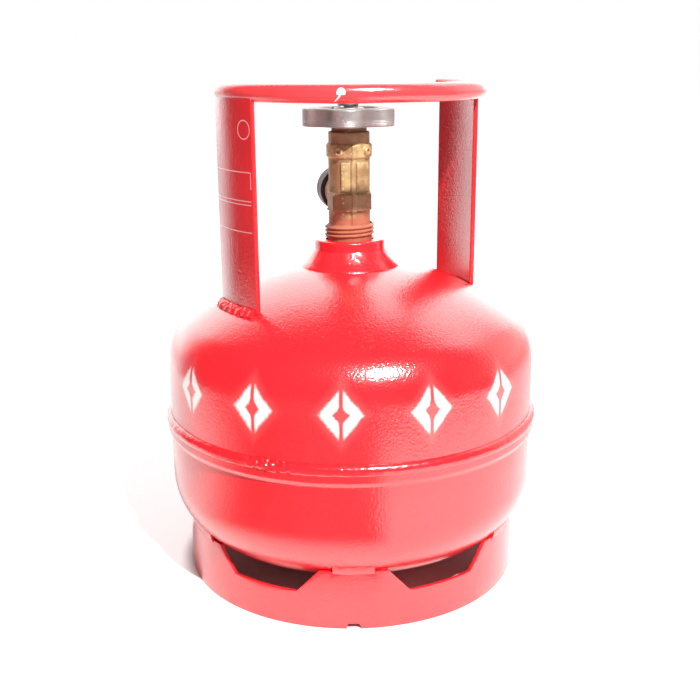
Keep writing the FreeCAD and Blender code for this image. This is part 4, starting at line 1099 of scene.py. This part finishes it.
class CYLINDER_OT_cap(bpy.types.Operator):
    """The ribbed cap over the outlet"""
    bl_idname = "cylinder.cap"
    bl_label = "Outlet cap"

    def execute(self, context):
        start, length_over, depth, radius, bore = 20.0, 14.3, 12.7, 13.5, 10.95
        ribs, groove_depth = 72, 0.55
        piece = turned("ribbed_cap", [
            (0, depth), (bore, depth), (bore, 0.7), (bore + 0.7, 0), (radius - 0.3, 0), (radius, 0.3), (radius, 1.0),
            (radius, 12.0), (radius, 12.7), (radius - 1.5, length_over, 1.5, 1, 5), (radius - 3.2, length_over),
            (radius - 3.9, length_over - 0.5), (0, length_over - 0.5)], ribs * 4)

        def groove(place):
            step = degrees(atan2(place.y, place.x)) / 360 * ribs
            return abs(place.xy.length - radius * MM) < 1e-5 and 0.9 * MM < place.z < 12.1 * MM \
                and abs(step - round(step)) < 0.1

        edit(piece)
        pick(piece, groove)
        shrink = (radius - groove_depth) / radius
        bpy.ops.transform.resize(value=(shrink, shrink, 1), center_override=(0, 0, 0))
        merge()
        face_out()
        lay_along_outlet(piece, start)
        shade(piece, 30)
        hand_over(piece, "cap", "black_cap", finish("cap_plastic"), "outlet_cap")
        return {"FINISHED"}


class CYLINDER_OT_carried_over(bpy.types.Operator):
    """Better materials for the turned parts that keep their CAD shapes"""
    bl_idname = "cylinder.carried_over"
    bl_label = "Turned parts"

    def execute(self, context):
        finishes = {
            # painted shade: the gland nut takes the darkened copy of the brass
            "gland_nut": "dark_brass", "valve_plug": "forged_brass", "drive_coupling": "forged_brass",
            "seat_insert": "seal_rubber", "spindle_gasket": "seal_rubber", "outlet_gasket": "seal_rubber",
            "spindle": "plain_steel", "handwheel_spring": "plain_steel", "spring_washer": "plain_steel",
        }
        for node, name in finishes.items():
            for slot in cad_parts[node].material_slots:
                slot.material = finish(name)
        return {"FINISHED"}


# ---------------------------------------------------------------- studio


PAPER = (0.88, 0.88, 0.88)
ROOM_SHADE = (0.03, 0.012, 0.012)


class CYLINDER_OT_stage(bpy.types.Operator):
    """Pale floor, one lamp, the room around it and the camera"""
    bl_idname = "cylinder.stage"
    bl_label = "Studio"

    def execute(self, context):
        self.floor()
        self.world(context.scene)
        self.lamp()
        self.camera(context.scene)
        context.scene.view_settings.view_transform = "Standard"
        return {"FINISHED"}

    def floor(self):
        leave_edit()
        bpy.ops.object.select_all(action="DESELECT")
        bpy.ops.mesh.primitive_plane_add(size=12, location=(0, 0, 0))
        floor = bpy.context.object
        floor.name = "floor"
        n, shader = new_material("floor_paper", Base_Color=PAPER, Roughness=0.9)
        path = n.add("ShaderNodeLightPath").outputs
        axis = n.group("About the axis")
        across = n.times(axis["Radius"], MM)
        turned = n.minus(axis["Bearing"], CAMERA_AT)
        outside = n.between(across, 0.100, 0.112)
        seen = n.times(path["Is Camera Ray"], outside)
        # painted reflection: only mirrored rays see the floor's dark front and its glow, which the shell reflects
        mirrored = n.times(path["Is Glossy Ray"], outside)
        dark = n.times(mirrored, self.front_shade(n, across, turned))
        glow = n.plus(n.times(n.between(across, 0.35, 0.6), 0.6), 0.2)
        lit = n.times(n.minus(mirrored, dark), n.minus(glow, self.side_shade(n, across, turned), clamp=True))
        n.feed(shader.inputs["Base Color"], n.mix(dark, PAPER, ROOM_SHADE))
        n.feed(shader.inputs["Emission Color"], (1, 1, 1))
        n.feed(shader.inputs["Emission Strength"], n.plus(n.times(seen, 0.66), lit))
        floor.data.materials.append(finish("floor_paper"))

    def front_shade(self, n, across, turned):
        """1 on the part of the floor in front that lies in the room's shade, as the shell mirrors it."""
        far = n.between(across, 0.42, 0.62)
        left = n.plus(n.plus(turned, 70.0), n.times(far, 50.0))
        left = n.over(left, n.minus(18.0, n.times(far, 15.0)))
        right = n.minus(turned, n.times(far, 88.0))
        sides = n.times(n.between(left, -1.0, 1.0), n.between(right, 16.0, 12.0))
        return n.times(n.between(across, 0.135, 0.20), sides)

    def side_shade(self, n, across, turned):
        """How much of the far floor's glow is lost on the right, where the room is dim."""
        return n.times(n.band(turned, 90.0, 104.0, 142.0, 152.0), n.between(across, 0.30, 0.42))

    def world(self, scene):
        """A soft white room, in which mirrored rays see a bright wall behind and a warm patch on the right."""
        world = bpy.data.worlds.new("studio")
        world.use_nodes = True
        scene.world = world
        n = Nodes(world.node_tree)
        background = world.node_tree.nodes["Background"]
        path = n.add("ShaderNodeLightPath").outputs
        way = n.add("ShaderNodeTexCoord").outputs["Generated"]
        height = n.add("ShaderNodeSeparateXYZ", {0: way}).outputs["Z"]
        behind = n.between(n.minus(self.along(n, way, 165), n.times(height, 0.07)), 0.32, 0.43)
        screened = n.times(n.between(self.along(n, way, 90), 0.45, 0.60), n.between(height, 0.80, 0.50))
        open_wall = n.minus(1.0, n.times(screened, 0.65))
        wall = n.times(n.times(behind, open_wall), n.between(height, 0.965, 0.915))
        warm = n.times(n.between(self.along(n, way, 112), 0.70, 0.95), n.between(height, 0.62, 0.50))
        tint = n.mix(wall, n.mix(warm, (0.05, 0.045, 0.045), (0.75, 0.26, 0.15)), (2.5, 2.4, 2.35))
        side = n.plus(n.times(self.along(n, way, 95), 0.5), 0.5)
        soft = n.mix(side, (0.20, 0.20, 0.20), (0.62, 0.62, 0.62))
        soft = n.mix(path["Is Glossy Ray"], soft, tint)
        n.feed(background.inputs["Color"], n.mix(path["Is Camera Ray"], soft, (1, 1, 1)))
        n.feed(background.inputs["Strength"], 1.0)

    def along(self, n, way, turn):
        """How far a direction points to a level bearing, counted from the camera's side to its right."""
        node = n.add("ShaderNodeVectorMath", {0: way, 1: bearing(CAMERA_AT + turn)}, operation="DOT_PRODUCT")
        return node.outputs["Value"]

    def lamp(self):
        """A small warm lamp, high and to the camera's right."""
        turn, lift, distance = CAMERA_AT + 23.2, radians(46.6), 1.9
        way = bearing(turn) * cos(lift) + Vector((0, 0, sin(lift)))
        aim = Vector((0, 0, 0.15))
        bpy.ops.object.light_add(type="AREA", location=aim + way * distance)
        lamp = bpy.context.object
        lamp.name = "key"
        lamp.rotation_euler = way.to_track_quat("Z", "Y").to_euler()
        lamp.data.shape = "DISK"
        lamp.data.size = 0.06
        lamp.data.energy = 62.0
        lamp.data.color = (1.0, 0.97, 0.93)

    def camera(self, scene):
        pitch, roll, yaw = radians(15.93), radians(0.363), radians(-0.086)
        stand = Vector((-1.08, -617.74, 309.47)) * MM
        turn = Matrix.Rotation(radians(CAMERA_AT), 3, "Z")
        sight = turn @ Matrix.Rotation(yaw, 3, "Z")
        ahead = sight @ Vector((0, cos(pitch), -sin(pitch)))
        right = sight @ Vector((1, 0, 0))
        up = right.cross(ahead)
        across = right * cos(roll) - up * sin(roll)
        above = right * sin(roll) + up * cos(roll)
        data = bpy.data.cameras.new("view")
        data.sensor_width = 36
        data.lens = 53.364857
        data.clip_start = 0.01
        camera = bpy.data.objects.new("view", data)
        scene.collection.objects.link(camera)
        basis = Matrix((across, above, -ahead)).transposed()
        camera.matrix_world = Matrix.Translation(turn @ stand) @ basis.to_4x4()
        scene.camera = camera


class CYLINDER_PT_panel(bpy.types.Panel):
    """Sizes, colours and pieces of the gas cylinder"""
    bl_label = "Gas Cylinder"
    bl_idname = "CYLINDER_PT_panel"
    bl_space_type = "VIEW_3D"
    bl_region_type = "UI"
    bl_category = "Cylinder"

    def draw(self, context):
        layout = self.layout
        for group_name in ("cylinder_sizes", "cylinder_colours"):
            settings = getattr(context.scene, group_name)
            box = layout.box()
            for name in settings.bl_rna.properties.keys():
                if name not in ("rna_type", "name"):
                    box.prop(settings, name)
        for operator in OPERATORS:
            layout.operator(operator.bl_idname)


OPERATORS = (
    CYLINDER_OT_finishes, CYLINDER_OT_shell, CYLINDER_OT_seam, CYLINDER_OT_neck, CYLINDER_OT_foot, CYLINDER_OT_grip,
    CYLINDER_OT_valve, CYLINDER_OT_handwheel, CYLINDER_OT_spindle_top, CYLINDER_OT_cap, CYLINDER_OT_carried_over,
    CYLINDER_OT_stage,
)
CLASSES = (CylinderSizes, CylinderColours) + OPERATORS + (CYLINDER_PT_panel,)


def register():
    for item in CLASSES:
        bpy.utils.register_class(item)
    bpy.types.Scene.cylinder_sizes = PointerProperty(type=CylinderSizes)
    bpy.types.Scene.cylinder_colours = PointerProperty(type=CylinderColours)


def unregister():
    del bpy.types.Scene.cylinder_colours
    del bpy.types.Scene.cylinder_sizes
    for item in reversed(CLASSES):
        bpy.utils.unregister_class(item)


def main():
    register()
    for operator in OPERATORS:
        category, name = operator.bl_idname.split(".")
        result = getattr(getattr(bpy.ops, category), name)()
        if result != {"FINISHED"}:
            raise RuntimeError(f"{operator.bl_label} did not finish")
    leave_edit()
    bpy.context.view_layer.update()


if __name__ == "__main__":
    main()
